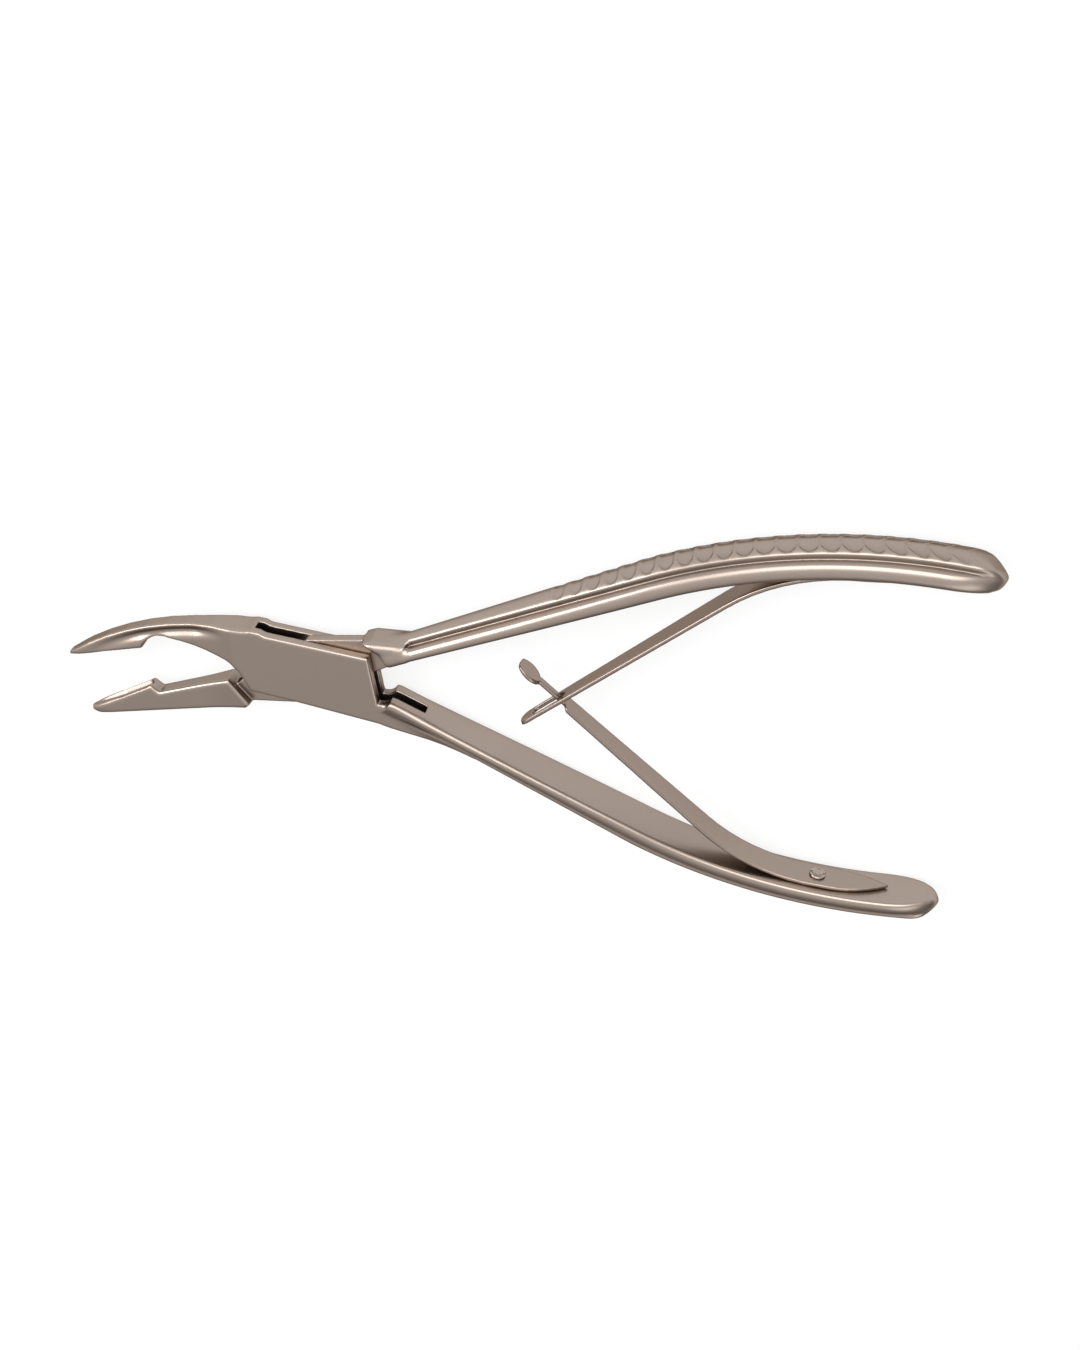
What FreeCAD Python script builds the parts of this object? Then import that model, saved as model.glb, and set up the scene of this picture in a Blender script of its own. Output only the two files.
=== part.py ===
import FreeCAD, Part
import math
import os

import Sketcher

# Bone rongeur with a box lock, drawn open. All lengths are millimetres, all angles degrees.
# X runs from the pivot towards the handles along the middle of the open tool, Y lies in the
# plane in which it opens, and Z is its thickness. The pivot axis is Z and the back cheek of
# the box lies on z = 0. The two jaws meet when the lock half has turned by closing_angle.

SIZES = {
    # box lock
    "box_thickness": 4.8,
    "lock_slot_width": 1.75,
    "tongue_side_play": 0.05,
    "pivot_pin_diameter": 3.0,
    "pivot_running_play": 0.03,
    "closing_angle": 14.5,
    "box_left_top": 12.8,
    "box_left_end": 12.4,
    "box_left_end_drop": 0.5,
    "box_toe_reach": 10.1,
    "box_toe_drop": 5.2,
    "box_right_top": 10.4,
    "box_right_end": 11.6,
    "box_right_end_drop": 4.4,
    "box_top_rise": 5.6,
    "box_top_slope": 6.2,
    "box_belly_drop": 6.2,
    "box_belly_reach": 2.6,
    "box_heel_reach": 11.5,
    "box_heel_drop": 8.5,
    "box_tail_reach": 30.0,
    "box_tail_width": 2.0,
    "box_tail_cover": 0.7,
    "box_taper_start": 2.0,
    "box_edge_round": 0.35,
    # by how much a cutter reaches past what it cuts
    "cut_overrun": 1.0,
    # slot through the box
    "slot_mouth_left": 8.6,
    "slot_wall_foot": 1.1,
    "slot_floor_left": 0.8,
    "slot_floor_right": 17.4,
    "slot_floor_cover": 0.2,
    "slot_floor_drop": 3.9,
    "slot_overrun": 4.0,
    # tongue of the lock half, in the open position
    "tongue_top_left": 0.1,
    "tongue_heel_reach": 14.9,
    "tongue_heel_rise": 3.3,
    "tongue_toe_reach": 3.0,
    "tongue_toe_drop": 7.4,
    "tongue_flank_reach": 10.2,
    "tongue_flank_rise": 0.2,
    "tongue_root_reach": 14.0,
    "tongue_root_drop": 1.7,
    # shoulder of the lock half, above the box
    "shoulder_edge_round": 0.75,
    "shoulder_top_fall": 0.1,
    "shoulder_foot_lift": 0.9,
    "shoulder_shelf_length": 2.0,
    "shoulder_ridge_length": 1.6,
    "shoulder_ridge_lift": 0.6,
    "shoulder_top_reach": 9.3,
    "shoulder_top_rise": 7.1,
    "shoulder_foot_reach": 14.7,
    "shoulder_foot_rise": 3.6,
    "shoulder_back_reach": 14.6,
    "shoulder_back_rise": 7.9,
    # jaws, drawn closed
    "bite_rear_reach": 28.7,
    "bite_rear_rise": 0.0,
    "bite_tip_reach": 42.5,
    "bite_tip_drop": 3.75,
    "bite_gap": 0.06,
    "jaw_back_radius": 48.0,
    "jaw_nose_reach": 41.5,
    "jaw_nose_drop": 2.55,
    "upper_arch_reach": 24.2,
    "upper_arch_rise": 2.8,
    "upper_arch_radius": 34.0,
    "upper_step_radius": 4.2,
    "lower_nose_reach": 42.8,
    "lower_nose_drop": 4.5,
    "lower_belly_front": 40.4,
    "lower_belly_drop": 5.2,
    "lower_heel_reach": 13.4,
    "lower_heel_drop": 6.0,
    "lower_throat_reach": 14.6,
    "lower_throat_drop": 0.25,
    "lower_end_reach": 12.3,
    "lower_end_drop": 5.3,
    "lower_notch_reach": 28.3,
    "lower_notch_drop": 1.75,
    "lower_step_lean": 0.7,
    "jaw_root_width": 4.5,
    "jaw_neck_reach": 25.0,
    "jaw_neck_width": 3.2,
    "jaw_cup_width": 3.0,
    "jaw_cup_reach": 38.5,
    "cup_length": 12.8,
    "cup_width": 2.1,
    "cup_tip_taper": 6.0,
    "jaw_root_cover": 4.0,
    "jaw_root_flat": 1.5,
    "jaw_cup_start": 2.0,
    "jaw_cup_taper": 0.3,
    "jaw_nose_spare": 0.3,
    "upper_nose_radius": 1.65,
    "lower_nose_radius": 3.3,
    # handles, drawn along their own straight inner face
    "handle_splay": 24.75,
    "handle_inner_offset": 2.6,
    "handle_root_reach": 14.0,
    "handle_straight": 60.0,
    "handle_inner_radius": 85.0,
    "handle_root_depth": 3.5,
    "handle_bend_depth": 5.0,
    "handle_bend_angle": 32.6,
    "tip_length": 1.95,
    "tip_level": 2.1,
    "flange_share": 0.64,
    "flange_root_width": 5.7,
    "flange_end_width": 8.3,
    "end_taper_length": 7.2,
    "end_tip_length": 1.6,
    "end_tip_width": 5.6,
    "crown_share": 0.2,
    "spine_inset": 1.9,
    "grip_first": 45.5,
    "grip_pitch": 2.95,
    "grip_count": 22,
    "grip_radius": 2.0,
    "grip_depth": 0.4,
    # leaf springs, drawn in the plane of the tool
    "leaf_thickness": 0.75,
    "leaf_seat_play": 0.03,
    "leaf_leave_angle": 18.95,
    "leaf_root_angle": 28.3,
    "leaf_bend_radius": 30.0,
    "leaf_slope": 42.0,
    "leaf_root_width": 5.0,
    "leaf_root_length": 10.0,
    "leaf_bend_width": 4.4,
    "leaf_arm_width": 3.2,
    "slotted_leaf_arm": 41.5,
    "slot_leaf_inner": 31.9,
    "slot_leaf_outer": 38.7,
    "slot_leaf_width": 1.8,
    "headed_leaf_arm": 42.0,
    "neck_start": 31.9,
    "neck_width": 1.25,
    "neck_taper": 0.6,
    "leaf_tip_narrowing": 0.2,
    "head_width": 3.6,
    # spring screws
    "screw_angle": 20.4,
    "screw_head_diameter": 2.7,
    "screw_head_height": 0.5,
    "screw_shank_diameter": 1.6,
    "screw_hole_play": 0.1,
    "screw_length": 3.2,
    "screw_hole_spare": 0.2,
    "screw_head_ease": 0.15,
    "screw_point_ease": 0.3,
    "screw_drive_width": 0.4,
    "screw_drive_depth": 0.25,
}


class Dim:
    """A number with the sheet formula that gives it."""

    def __init__(self, value, formula):
        self.value = float(value)
        self.formula = formula

    def __add__(self, other):
        other = as_dim(other)
        return Dim(self.value + other.value, f"({self.formula} + {other.formula})")

    def __sub__(self, other):
        other = as_dim(other)
        return Dim(self.value - other.value, f"({self.formula} - {other.formula})")

    def __mul__(self, other):
        other = as_dim(other)
        return Dim(self.value * other.value, f"({self.formula} * {other.formula})")

    def __truediv__(self, other):
        other = as_dim(other)
        return Dim(self.value / other.value, f"({self.formula} / {other.formula})")

    def __neg__(self):
        return Dim(-self.value, f"(0 - {self.formula})")


def as_dim(number):
    if isinstance(number, Dim):
        return number
    return Dim(number, f"({number})")


def sine(angle):
    return Dim(math.sin(math.radians(angle.value)), f"sin({angle.formula})")


def cosine(angle):
    return Dim(math.cos(math.radians(angle.value)), f"cos({angle.formula})")


def tangent(angle):
    return Dim(math.tan(math.radians(angle.value)), f"tan({angle.formula})")


def root(dim):
    return Dim(math.sqrt(dim.value), f"sqrt({dim.formula})")


def chord(start, end):
    """The distance between two corners."""
    run, rise = end[0] - start[0], end[1] - start[1]
    return root(run * run + rise * rise)


def turned(corner, angle):
    """The corner after a turn about the pivot."""
    x, y = corner
    return (x * cosine(angle) - y * sine(angle), x * sine(angle) + y * cosine(angle))


doc = FreeCAD.newDocument("bone_rongeur")
sheet = doc.addObject("Spreadsheet::Sheet", "sizes")
for row, (alias, number) in enumerate(SIZES.items(), start=1):
    sheet.set(f"A{row}", alias)
    sheet.set(f"B{row}", str(number))
    sheet.setAlias(f"B{row}", alias)
doc.recompute()


def size(alias):
    return Dim(SIZES[alias], f"sizes.{alias}")


ZERO = as_dim(0)
HALF_TURN = as_dim(180)
DEGREES = HALF_TURN.value / math.pi
EDGE_TOLERANCE = 0.01
UPRIGHT = FreeCAD.Rotation(FreeCAD.Vector(1, 0, 0), 90)
LYING = FreeCAD.Rotation(FreeCAD.Vector(0, 1, 0), 90)
MID_PLANE = size("box_thickness") / 2
CUT_THROUGH = size("box_thickness") * 4
WIDE_CUT = size("box_thickness") * 20
overrun = size("cut_overrun")

# How round the arcs are: each radius is this share of a length that the sheet gives
FLANGE_FACE_SHARE = 0.15
FLANGE_SHELF_SHARE = 0.4
FLANGE_ROUND_SHARE = 0.62
FLUTE_SHARE = 1.4
BEND_OVERRUN = 1.15
FALL_SHARE = 0.84
TOE_SHARE = 0.8
NOSE_SHARE = 1.3
FLANK_SHARE = 1.9
POINT_SHARE = 1.05
JAW_SWEEP_SHARE = 1.8
JAW_NOSE_SHARE = 1.05
ROOT_SHARE = 1.02


def arc_between(start, end, radius, side):
    """The short arc from start to end, with its centre on the left (+1) or right (-1)."""
    chord = end - start
    half = chord.Length / 2
    height = math.sqrt(radius * radius - half * half)
    left = FreeCAD.Vector(-chord.y, chord.x, 0).normalize()
    centre = (start + end) / 2 + left * (height * side)
    first, last = (start, end) if side > 0 else (end, start)
    angles = [math.atan2(p.y - centre.y, p.x - centre.x) for p in (first, last)]
    circle = Part.Circle(centre, FreeCAD.Vector(0, 0, 1), radius)
    return Part.ArcOfCircle(circle, angles[0], angles[1])


def trace(sketch, corners, arcs):
    """Draws a closed outline whose corners and radii follow the sheet."""
    spots = [FreeCAD.Vector(x.value, y.value, 0) for x, y in corners]
    count = len(corners)
    first = sketch.GeometryCount
    begins = []
    for i in range(count):
        start, end = spots[i], spots[(i + 1) % count]
        if i in arcs:
            radius, side = arcs[i]
            sketch.addGeometry(arc_between(start, end, radius.value, side))
            begins.append(1 if side > 0 else 2)
        else:
            sketch.addGeometry(Part.LineSegment(start, end))
            begins.append(1)
    for i in range(count):
        following = (i + 1) % count
        sketch.addConstraint(Sketcher.Constraint(
            "Coincident", first + i, 3 - begins[i], first + following, begins[following]))
    for i, (x, y) in enumerate(corners):
        for kind, dim in (("DistanceX", x), ("DistanceY", y)):
            place = sketch.addConstraint(
                Sketcher.Constraint(kind, -1, 1, first + i, begins[i], dim.value))
            sketch.setExpression(f"Constraints[{place}]", dim.formula)
    for i, (radius, _) in arcs.items():
        place = sketch.addConstraint(Sketcher.Constraint("Radius", first + i, radius.value))
        sketch.setExpression(f"Constraints[{place}]", radius.formula)


def outline(name, corners, arcs=None, turn=ZERO, rise=MID_PLANE):
    """A closed outline in the plane of the tool, turned about the pivot."""
    sketch = doc.addObject("Sketcher::SketchObject", name)
    trace(sketch, corners, arcs or {})
    spot = FreeCAD.Vector(0, 0, rise.value)
    sketch.Placement = FreeCAD.Placement(spot, FreeCAD.Rotation(FreeCAD.Vector(0, 0, 1), turn.value))
    sketch.setExpression("Placement", (
        f"placement(vector(0; 0; {rise.formula});"
        f" rotation(vector(0; 0; 1); {turn.formula}))"))
    return sketch


def plan(name, corners, arcs=None, turn=ZERO):
    """A closed outline seen from the edge of the tool: X along it, Y across its thickness."""
    sketch = doc.addObject("Sketcher::SketchObject", name)
    trace(sketch, corners, arcs or {})
    about = FreeCAD.Rotation(FreeCAD.Vector(0, 0, 1), turn.value)
    sketch.Placement = FreeCAD.Placement(FreeCAD.Vector(0, 0, MID_PLANE.value), about * UPRIGHT)
    sketch.setExpression("Placement", (
        f"placement(vector(0; 0; {MID_PLANE.formula});"
        f" rotation(vector(0; 0; 1); {turn.formula}) * rotation(vector(1; 0; 0); 90))"))
    return sketch


def extrude(sketch, depth):
    """A solid of the outline, as thick to both sides of its plane."""
    solid = doc.addObject("Part::Extrusion", f"{sketch.Name}_block")
    solid.Base = sketch
    solid.DirMode = "Normal"
    solid.Solid = True
    solid.Symmetric = True
    solid.setExpression("LengthFwd", depth.formula)
    return solid


def combine(kind, name, shapes):
    joined = doc.addObject(kind, name)
    joined.Shapes = shapes
    joined.Refine = kind == "Part::MultiFuse"
    return joined


def common(name, shapes):
    return combine("Part::MultiCommon", name, shapes)


def fuse(name, shapes):
    return combine("Part::MultiFuse", name, shapes)


def cut(name, base, tool):
    result = doc.addObject("Part::Cut", name)
    result.Base = base
    result.Tool = tool
    result.Refine = False
    return result


def mirrored(source):
    """The same shape on the other side of the tool's middle line."""
    twin = doc.addObject("Part::Mirroring", f"{source.Name}_mirrored")
    twin.Source = source
    twin.Normal = FreeCAD.Vector(0, 1, 0)
    return twin


def rounded(name, base, radius, wanted):
    """Rounds the edges of base that the test picks."""
    doc.recompute()
    picked = [i for i, edge in enumerate(base.Shape.Edges, start=1) if wanted(edge)]
    fillet = doc.addObject("Part::Fillet", name)
    fillet.Base = base
    fillet.Edges = [(i, radius.value, radius.value) for i in picked]
    return fillet


def round_bar(name, diameter, length, spot, turn):
    """A cylinder that starts at spot and points along +Y turned by an angle."""
    bar = doc.addObject("Part::Cylinder", name)
    bar.setExpression("Radius", (diameter / 2).formula)
    bar.setExpression("Height", length.formula)
    bar.setExpression("Placement", (
        f"placement(vector({spot[0].formula}; {spot[1].formula}; {spot[2].formula});"
        f" rotation(vector(0; 0; 1); {turn.formula}) * rotation(vector(1; 0; 0); -90))"))
    return bar


def sketched_body(name, sketch_name):
    """A body and its first sketch, which lies on the body's XY plane."""
    body = doc.addObject("PartDesign::Body", name)
    plane = next(f for f in body.Origin.OriginFeatures if f.Role == "XY_Plane")
    sketch = body.newObject("Sketcher::SketchObject", sketch_name)
    sketch.AttachmentSupport = (plane, [""])
    sketch.MapMode = "FlatFace"
    return body, sketch


def edge_height(edge):
    """How far the middle of an edge stands from the mid plane of the tool."""
    middle = edge.valueAt((edge.FirstParameter + edge.LastParameter) / 2)
    return abs(middle.z - MID_PLANE.value)


# Lines and points that several pieces share

def box_top(reach):
    """The point of the box's flat top edge at a reach along X."""
    return (reach, size("box_top_rise") - reach * tangent(size("box_top_slope")))


def on_line(start, end, share):
    return tuple(a + (b - a) * share for a, b in zip(start, end))


bite_rear = (-size("bite_rear_reach"), size("bite_rear_rise"))
bite_tip = (-size("bite_tip_reach"), -size("bite_tip_drop"))
box_throat = (-size("box_left_end"), -size("box_left_end_drop"))
box_toe = (-size("box_toe_reach"), -size("box_toe_drop"))
box_belly = (-size("box_belly_reach"), -size("box_belly_drop"))
box_right_foot = (size("box_right_end"), -size("box_right_end_drop"))
box_heel = (size("box_heel_reach"), -size("box_heel_drop"))


# Handle: a wide flange with a flat inner face, and a narrower crowned crest with finger scallops.
# It tapers along its straight part and keeps its section round the bend.

straight = size("handle_straight")
inner_v = -size("handle_inner_offset")
inner_radius = size("handle_inner_radius")
bend_angle = size("handle_bend_angle")
splay = size("handle_splay")
root_u = size("handle_root_reach")
root_depth, bend_depth = size("handle_root_depth"), size("handle_bend_depth")
crest_v = inner_v + bend_depth
outer_radius = inner_radius + bend_depth
crest_slope = (bend_depth - root_depth) / (straight - root_u)


def at_bend_angle(angle, level, radius):
    """The point of a handle's bend where the line has turned by this angle."""
    return (straight + radius * sine(angle), level - (radius - radius * cosine(angle)))


def beyond_bend(forward, level):
    """A point past the end of the bend, at a level above the inner face."""
    reach, rise = at_bend_angle(bend_angle, inner_v + level, inner_radius + level)
    return (reach + forward * cosine(bend_angle), rise - forward * sine(bend_angle))


def crest_at(reach):
    """The level of the crest along the straight part."""
    return crest_v - (straight - reach) * crest_slope


def handle_section(sketch, width, depth, level):
    """One cross section, square to the handle: flat face, round flange, flute and crown."""
    flange = depth * size("flange_share")
    face = width / 2 - flange * FLANGE_FACE_SHARE
    shelf = width / 2 - flange * FLANGE_SHELF_SHARE
    ridge = width / 2 - size("spine_inset")
    crown = depth * size("crown_share")
    shoulder_level = level + depth - crown
    crown_radius = ridge * ridge / (crown * 2) + crown / 2
    flange_round = flange * FLANGE_ROUND_SHARE
    flute_round = chord((shelf, level + flange), (ridge, shoulder_level)) * FLUTE_SHARE
    trace(sketch, [
        (-face, level), (face, level), (shelf, level + flange),
        (ridge, shoulder_level), (-ridge, shoulder_level), (-shelf, level + flange),
    ], {
        1: (flange_round, 1),
        2: (flute_round, -1),
        3: (crown_radius, 1),
        4: (flute_round, -1),
        5: (flange_round, 1),
    })


def standing_section(name, reach, width, depth):
    """A section that stands on the straight inner face at a reach along the handle."""
    sketch = doc.addObject("Sketcher::SketchObject", name)
    handle_section(sketch, width, depth, ZERO)
    x, y = turned((reach, inner_v), splay)
    sketch.Placement = FreeCAD.Placement(
        FreeCAD.Vector(x.value, y.value, MID_PLANE.value),
        FreeCAD.Rotation(FreeCAD.Vector(0, 0, 1), splay.value) * LYING)
    sketch.setExpression("Placement", (
        f"placement(vector({x.formula}; {y.formula}; {MID_PLANE.formula});"
        f" rotation(vector(0; 0; 1); {splay.formula}) * rotation(vector(0; 1; 0); 90))"))
    return sketch


handle_shank = doc.addObject("Part::Loft", "handle_shank")
handle_shank.Sections = [
    standing_section("shank_root", root_u, size("flange_root_width"), root_depth),
    standing_section("shank_end", straight, size("flange_end_width"), bend_depth),
]
handle_shank.Solid = True
handle_shank.Ruled = True

handle_bend, bend_section = sketched_body("handle_bend", "bend_section")
handle_section(bend_section, size("flange_end_width"), bend_depth, inner_radius)
bend_turn = handle_bend.newObject("PartDesign::Revolution", "bend_turn")
bend_turn.Profile = bend_section
bend_turn.ReferenceAxis = (bend_section, ["H_Axis"])
bend_turn.setExpression("Angle", (bend_angle * BEND_OVERRUN).formula)
bend_spot = turned((straight, inner_v - inner_radius), splay)
handle_bend.setExpression("Placement", (
    f"placement(vector({bend_spot[0].formula}; {bend_spot[1].formula}; {MID_PLANE.formula});"
    f" rotation(vector(0; 0; 1); {splay.formula}) * rotation(vector(0; 1; 0); 90))"))


def finger_scallops():
    """Round cutters across the crest, evenly spaced along its straight part and its bend."""
    pitch, radius = size("grip_pitch"), size("grip_radius")
    rise = radius - size("grip_depth")
    cutters = []
    for i in range(int(SIZES["grip_count"])):
        reach = size("grip_first") + pitch * i
        if reach.value < straight.value:
            spot = (reach, crest_at(reach) + rise)
        else:
            angle = (reach - straight) / outer_radius * DEGREES
            spot = at_bend_angle(angle, crest_v + rise, outer_radius + rise)
        x, y = turned(spot, splay)
        cutter = doc.addObject("Part::Cylinder", f"scallop_{i + 1}")
        cutter.setExpression("Radius", radius.formula)
        cutter.setExpression("Height", size("box_thickness").formula)
        cutter.setExpression("Placement.Base.x", x.formula)
        cutter.setExpression("Placement.Base.y", y.formula)
        cutters.append(cutter)
    return fuse("finger_scallops", cutters)


def handle_end():
    """The space that the handle may fill: its rounded end, seen from the side and from above."""
    margin = size("handle_bend_depth")
    toe = at_bend_angle(bend_angle, inner_v, inner_radius)
    tip = beyond_bend(size("tip_length"), size("tip_level"))
    fall = bend_angle * FALL_SHARE
    crest = at_bend_angle(fall, crest_v, outer_radius)
    side = outline("handle_end_side", [
        (root_u - overrun, inner_v - margin),
        (straight, inner_v - margin),
        at_bend_angle(bend_angle, inner_v - margin, inner_radius - margin),
        toe,
        tip,
        crest,
        at_bend_angle(fall, crest_v + margin, outer_radius + margin),
        (straight, crest_v + margin),
        (root_u - overrun, crest_v + margin),
    ], {
        1: (inner_radius - margin, -1),
        3: (chord(toe, tip) * TOE_SHARE, 1),
        4: (chord(tip, crest) * NOSE_SHARE, 1),
        6: (outer_radius + margin, 1),
    }, splay)
    half = size("flange_end_width") / 2
    reach = turned(tip, splay)[0]
    flank = (reach - size("end_taper_length"), half)
    corner = (reach - size("end_tip_length"), size("end_tip_width") / 2)
    point = (reach, ZERO)
    flank_round = chord(flank, corner) * FLANK_SHARE
    point_round = chord(corner, point) * POINT_SHARE
    above = plan("handle_end_plan", [
        (ZERO, -half * 2), (flank[0], -half * 2), (flank[0], -half), (corner[0], -corner[1]),
        point,
        corner, flank, (flank[0], half * 2), (ZERO, half * 2),
    ], {
        2: (flank_round, 1), 3: (point_round, 1), 4: (point_round, 1), 5: (flank_round, 1),
    })
    return common("handle_envelope", [extrude(side, CUT_THROUGH), extrude(above, WIDE_CUT)])


handle_bar = fuse("handle_bar", [handle_shank, handle_bend])
gripped_bar = cut("gripped_bar", handle_bar, finger_scallops())
handle_body = common("handle_body", [gripped_bar, handle_end()])
screw_turn = splay - size("screw_angle")
hole_size = size("screw_shank_diameter")
screw_seat = turned(at_bend_angle(size("screw_angle"), inner_v, inner_radius), splay)
hole_start = turned(
    at_bend_angle(size("screw_angle"), inner_v - overrun, inner_radius - overrun), splay)
hole_depth = size("screw_length") - size("leaf_thickness") + size("screw_hole_spare") + overrun
tapped_hole = round_bar(
    "tapped_hole", hole_size, hole_depth, (hole_start[0], hole_start[1], MID_PLANE), screw_turn)
handle = cut("handle", handle_body, tapped_hole)


# Jaws, drawn closed: both bite along the line from bite_rear to bite_tip

nose_top = (-size("jaw_nose_reach"), -size("jaw_nose_drop"))
jaw_back_start = box_top(-size("jaw_back_radius") * sine(size("box_top_slope")) * 1.5)
upper_jaw_outline = outline("upper_jaw", [
    jaw_back_start,
    nose_top,
    bite_tip,
    bite_rear,
    (-size("upper_arch_reach"), size("upper_arch_rise")),
    box_throat,
    (box_throat[0] + size("jaw_root_cover"), box_throat[1]),
], {
    0: (size("jaw_back_radius"), 1),
    1: (size("upper_nose_radius"), 1),
    3: (size("upper_step_radius"), -1),
    4: (size("upper_arch_radius"), -1),
})
lower_gap = size("bite_gap")
lower_jaw_outline = outline("lower_jaw", [
    (-size("lower_throat_reach"), -size("lower_throat_drop")),
    (-size("lower_notch_reach"), -size("lower_notch_drop")),
    (bite_rear[0] - size("lower_step_lean"), bite_rear[1] - lower_gap - size("lower_step_lean") * 0.27),
    (bite_tip[0], bite_tip[1] - lower_gap),
    (-size("lower_nose_reach"), -size("lower_nose_drop")),
    (-size("lower_belly_front"), -size("lower_belly_drop")),
    (-size("lower_heel_reach"), -size("lower_heel_drop")),
    (-size("lower_end_reach"), -size("lower_end_drop")),
], {4: (size("lower_nose_radius"), 1)}, size("closing_angle"))


def jaw_plan(name, turn):
    """The jaw's width from the box to its rounded tip."""
    rows = [
        (box_throat[0] + size("jaw_root_cover") + overrun, size("jaw_root_width")),
        (box_throat[0] - size("jaw_root_flat"), size("jaw_root_width")),
        (-size("jaw_neck_reach"), size("jaw_neck_width")),
        (bite_rear[0] - size("jaw_cup_start"), size("jaw_cup_width")),
        (-size("jaw_cup_reach"), size("jaw_cup_width") - size("jaw_cup_taper")),
    ]
    near = [(reach, width / 2) for reach, width in rows]
    sweep = chord(near[1], near[2]) * JAW_SWEEP_SHARE
    far = [(reach, -half) for reach, half in reversed(near)]
    nose = (-size("lower_nose_reach") - size("jaw_nose_spare"), ZERO)
    nose_radius = chord(near[-1], nose) * JAW_NOSE_SHARE
    return plan(name, near + [nose] + far, {
        1: (sweep, -1), 4: (nose_radius, 1), 5: (nose_radius, 1), 8: (sweep, -1),
    }, turn)


def bite_cup(name, turn):
    """The hollow that both jaws carry along their bite, turned about the bite line."""
    middle = on_line(bite_rear, bite_tip, 0.5)
    run, fall = bite_rear[0] - bite_tip[0], bite_rear[1] - bite_tip[1]
    half, bore = size("cup_length") / 2, size("cup_width") / 2
    body, sketch = sketched_body(name, f"{name}_profile")
    trace(sketch, [
        (half, ZERO), (half - bore, bore), (size("cup_tip_taper") - half, bore), (-half, ZERO),
    ], {0: (bore, 1)})
    turning = body.newObject("PartDesign::Revolution", f"{name}_turned")
    turning.Profile = sketch
    turning.ReferenceAxis = (sketch, ["H_Axis"])
    turning.Angle = 360
    spot = turned(middle, turn)
    body.setExpression("Placement", (
        f"placement(vector({spot[0].formula}; {spot[1].formula}; {MID_PLANE.formula});"
        f" rotation(vector(0; 0; 1); {turn.formula} + atan2({fall.formula}; {run.formula}) / 1 deg))"))
    return body


upper_jaw = common("upper_jaw_solid", [
    extrude(upper_jaw_outline, CUT_THROUGH),
    extrude(jaw_plan("upper_jaw_plan", ZERO), WIDE_CUT),
])
lower_jaw = common("lower_jaw_solid", [
    extrude(lower_jaw_outline, CUT_THROUGH),
    extrude(jaw_plan("lower_jaw_plan", size("closing_angle")), WIDE_CUT),
])


# Box: two cheeks with the slot between them for the tongue of the lock half

def under(reach, level):
    """A place on the lower handle, which mirrors the upper one."""
    x, y = turned((reach, level), splay)
    return (x, -y)


tail = size("box_tail_reach")
box_outline = outline("box", [
    box_top(-size("box_left_top")),
    box_throat,
    box_toe,
    box_belly,
    box_heel,
    under(tail, crest_at(tail) - size("box_tail_cover")),
    under(tail, inner_v + size("box_tail_cover")),
    under(root_u + overrun, inner_v + size("box_tail_cover") / 2),
    box_right_foot,
    box_top(size("box_right_top")),
])
box_plan_half = size("box_thickness") / 2
taper_start = box_heel[0] + size("box_taper_start")
box_plan = plan("box_plan", [
    (-size("box_left_top") - overrun, -box_plan_half - overrun),
    (taper_start, -box_plan_half - overrun),
    (taper_start, -box_plan_half),
    (turned((tail, ZERO), splay)[0], -size("box_tail_width") / 2),
    (turned((tail, ZERO), splay)[0], size("box_tail_width") / 2),
    (taper_start, box_plan_half),
    (taper_start, box_plan_half + overrun),
    (-size("box_left_top") - overrun, box_plan_half + overrun),
])
slot_foot = (box_throat[0] - size("slot_wall_foot") * 0.3, box_throat[1] - size("slot_wall_foot"))
slot_top = size("box_top_rise") + size("slot_overrun")
slot_bottom = -size("box_heel_drop") - size("slot_overrun")
slot_outline = outline("lock_slot", [
    (-size("slot_mouth_left"), slot_top),
    (-size("slot_mouth_left"), size("box_top_rise") + overrun / 2),
    slot_foot,
    (slot_foot[0] - size("slot_overrun"), slot_bottom),
    (-size("slot_floor_left"), slot_bottom),
    (-size("slot_floor_left"), -size("box_belly_drop") - size("slot_floor_cover")),
    (size("slot_floor_right"), -size("slot_floor_drop")),
    (size("slot_floor_right"), slot_top),
])
eased_box = rounded(
    "eased_box", extrude(box_outline, size("box_thickness")), size("box_edge_round"),
    lambda edge: abs(edge_height(edge) - MID_PLANE.value) < EDGE_TOLERANCE)
block = common("tapered_box", [eased_box, extrude(box_plan, WIDE_CUT)])
box_blank = fuse("box_blank", [block, upper_jaw, mirrored(handle)])
slotted = cut("slotted_box", box_blank, extrude(slot_outline, size("lock_slot_width")))
pin_hole = doc.addObject("Part::Cylinder", "pin_hole")
pin_hole.setExpression("Radius", "sizes.pivot_pin_diameter / 2")
pin_hole.setExpression("Height", "sizes.box_thickness")
cupped_box = cut("cupped_box", slotted, bite_cup("upper_cup", ZERO))
box_half = cut("box_half", cupped_box, pin_hole)


# Lock half: the tongue in the box, the lower jaw and the upper handle

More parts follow.
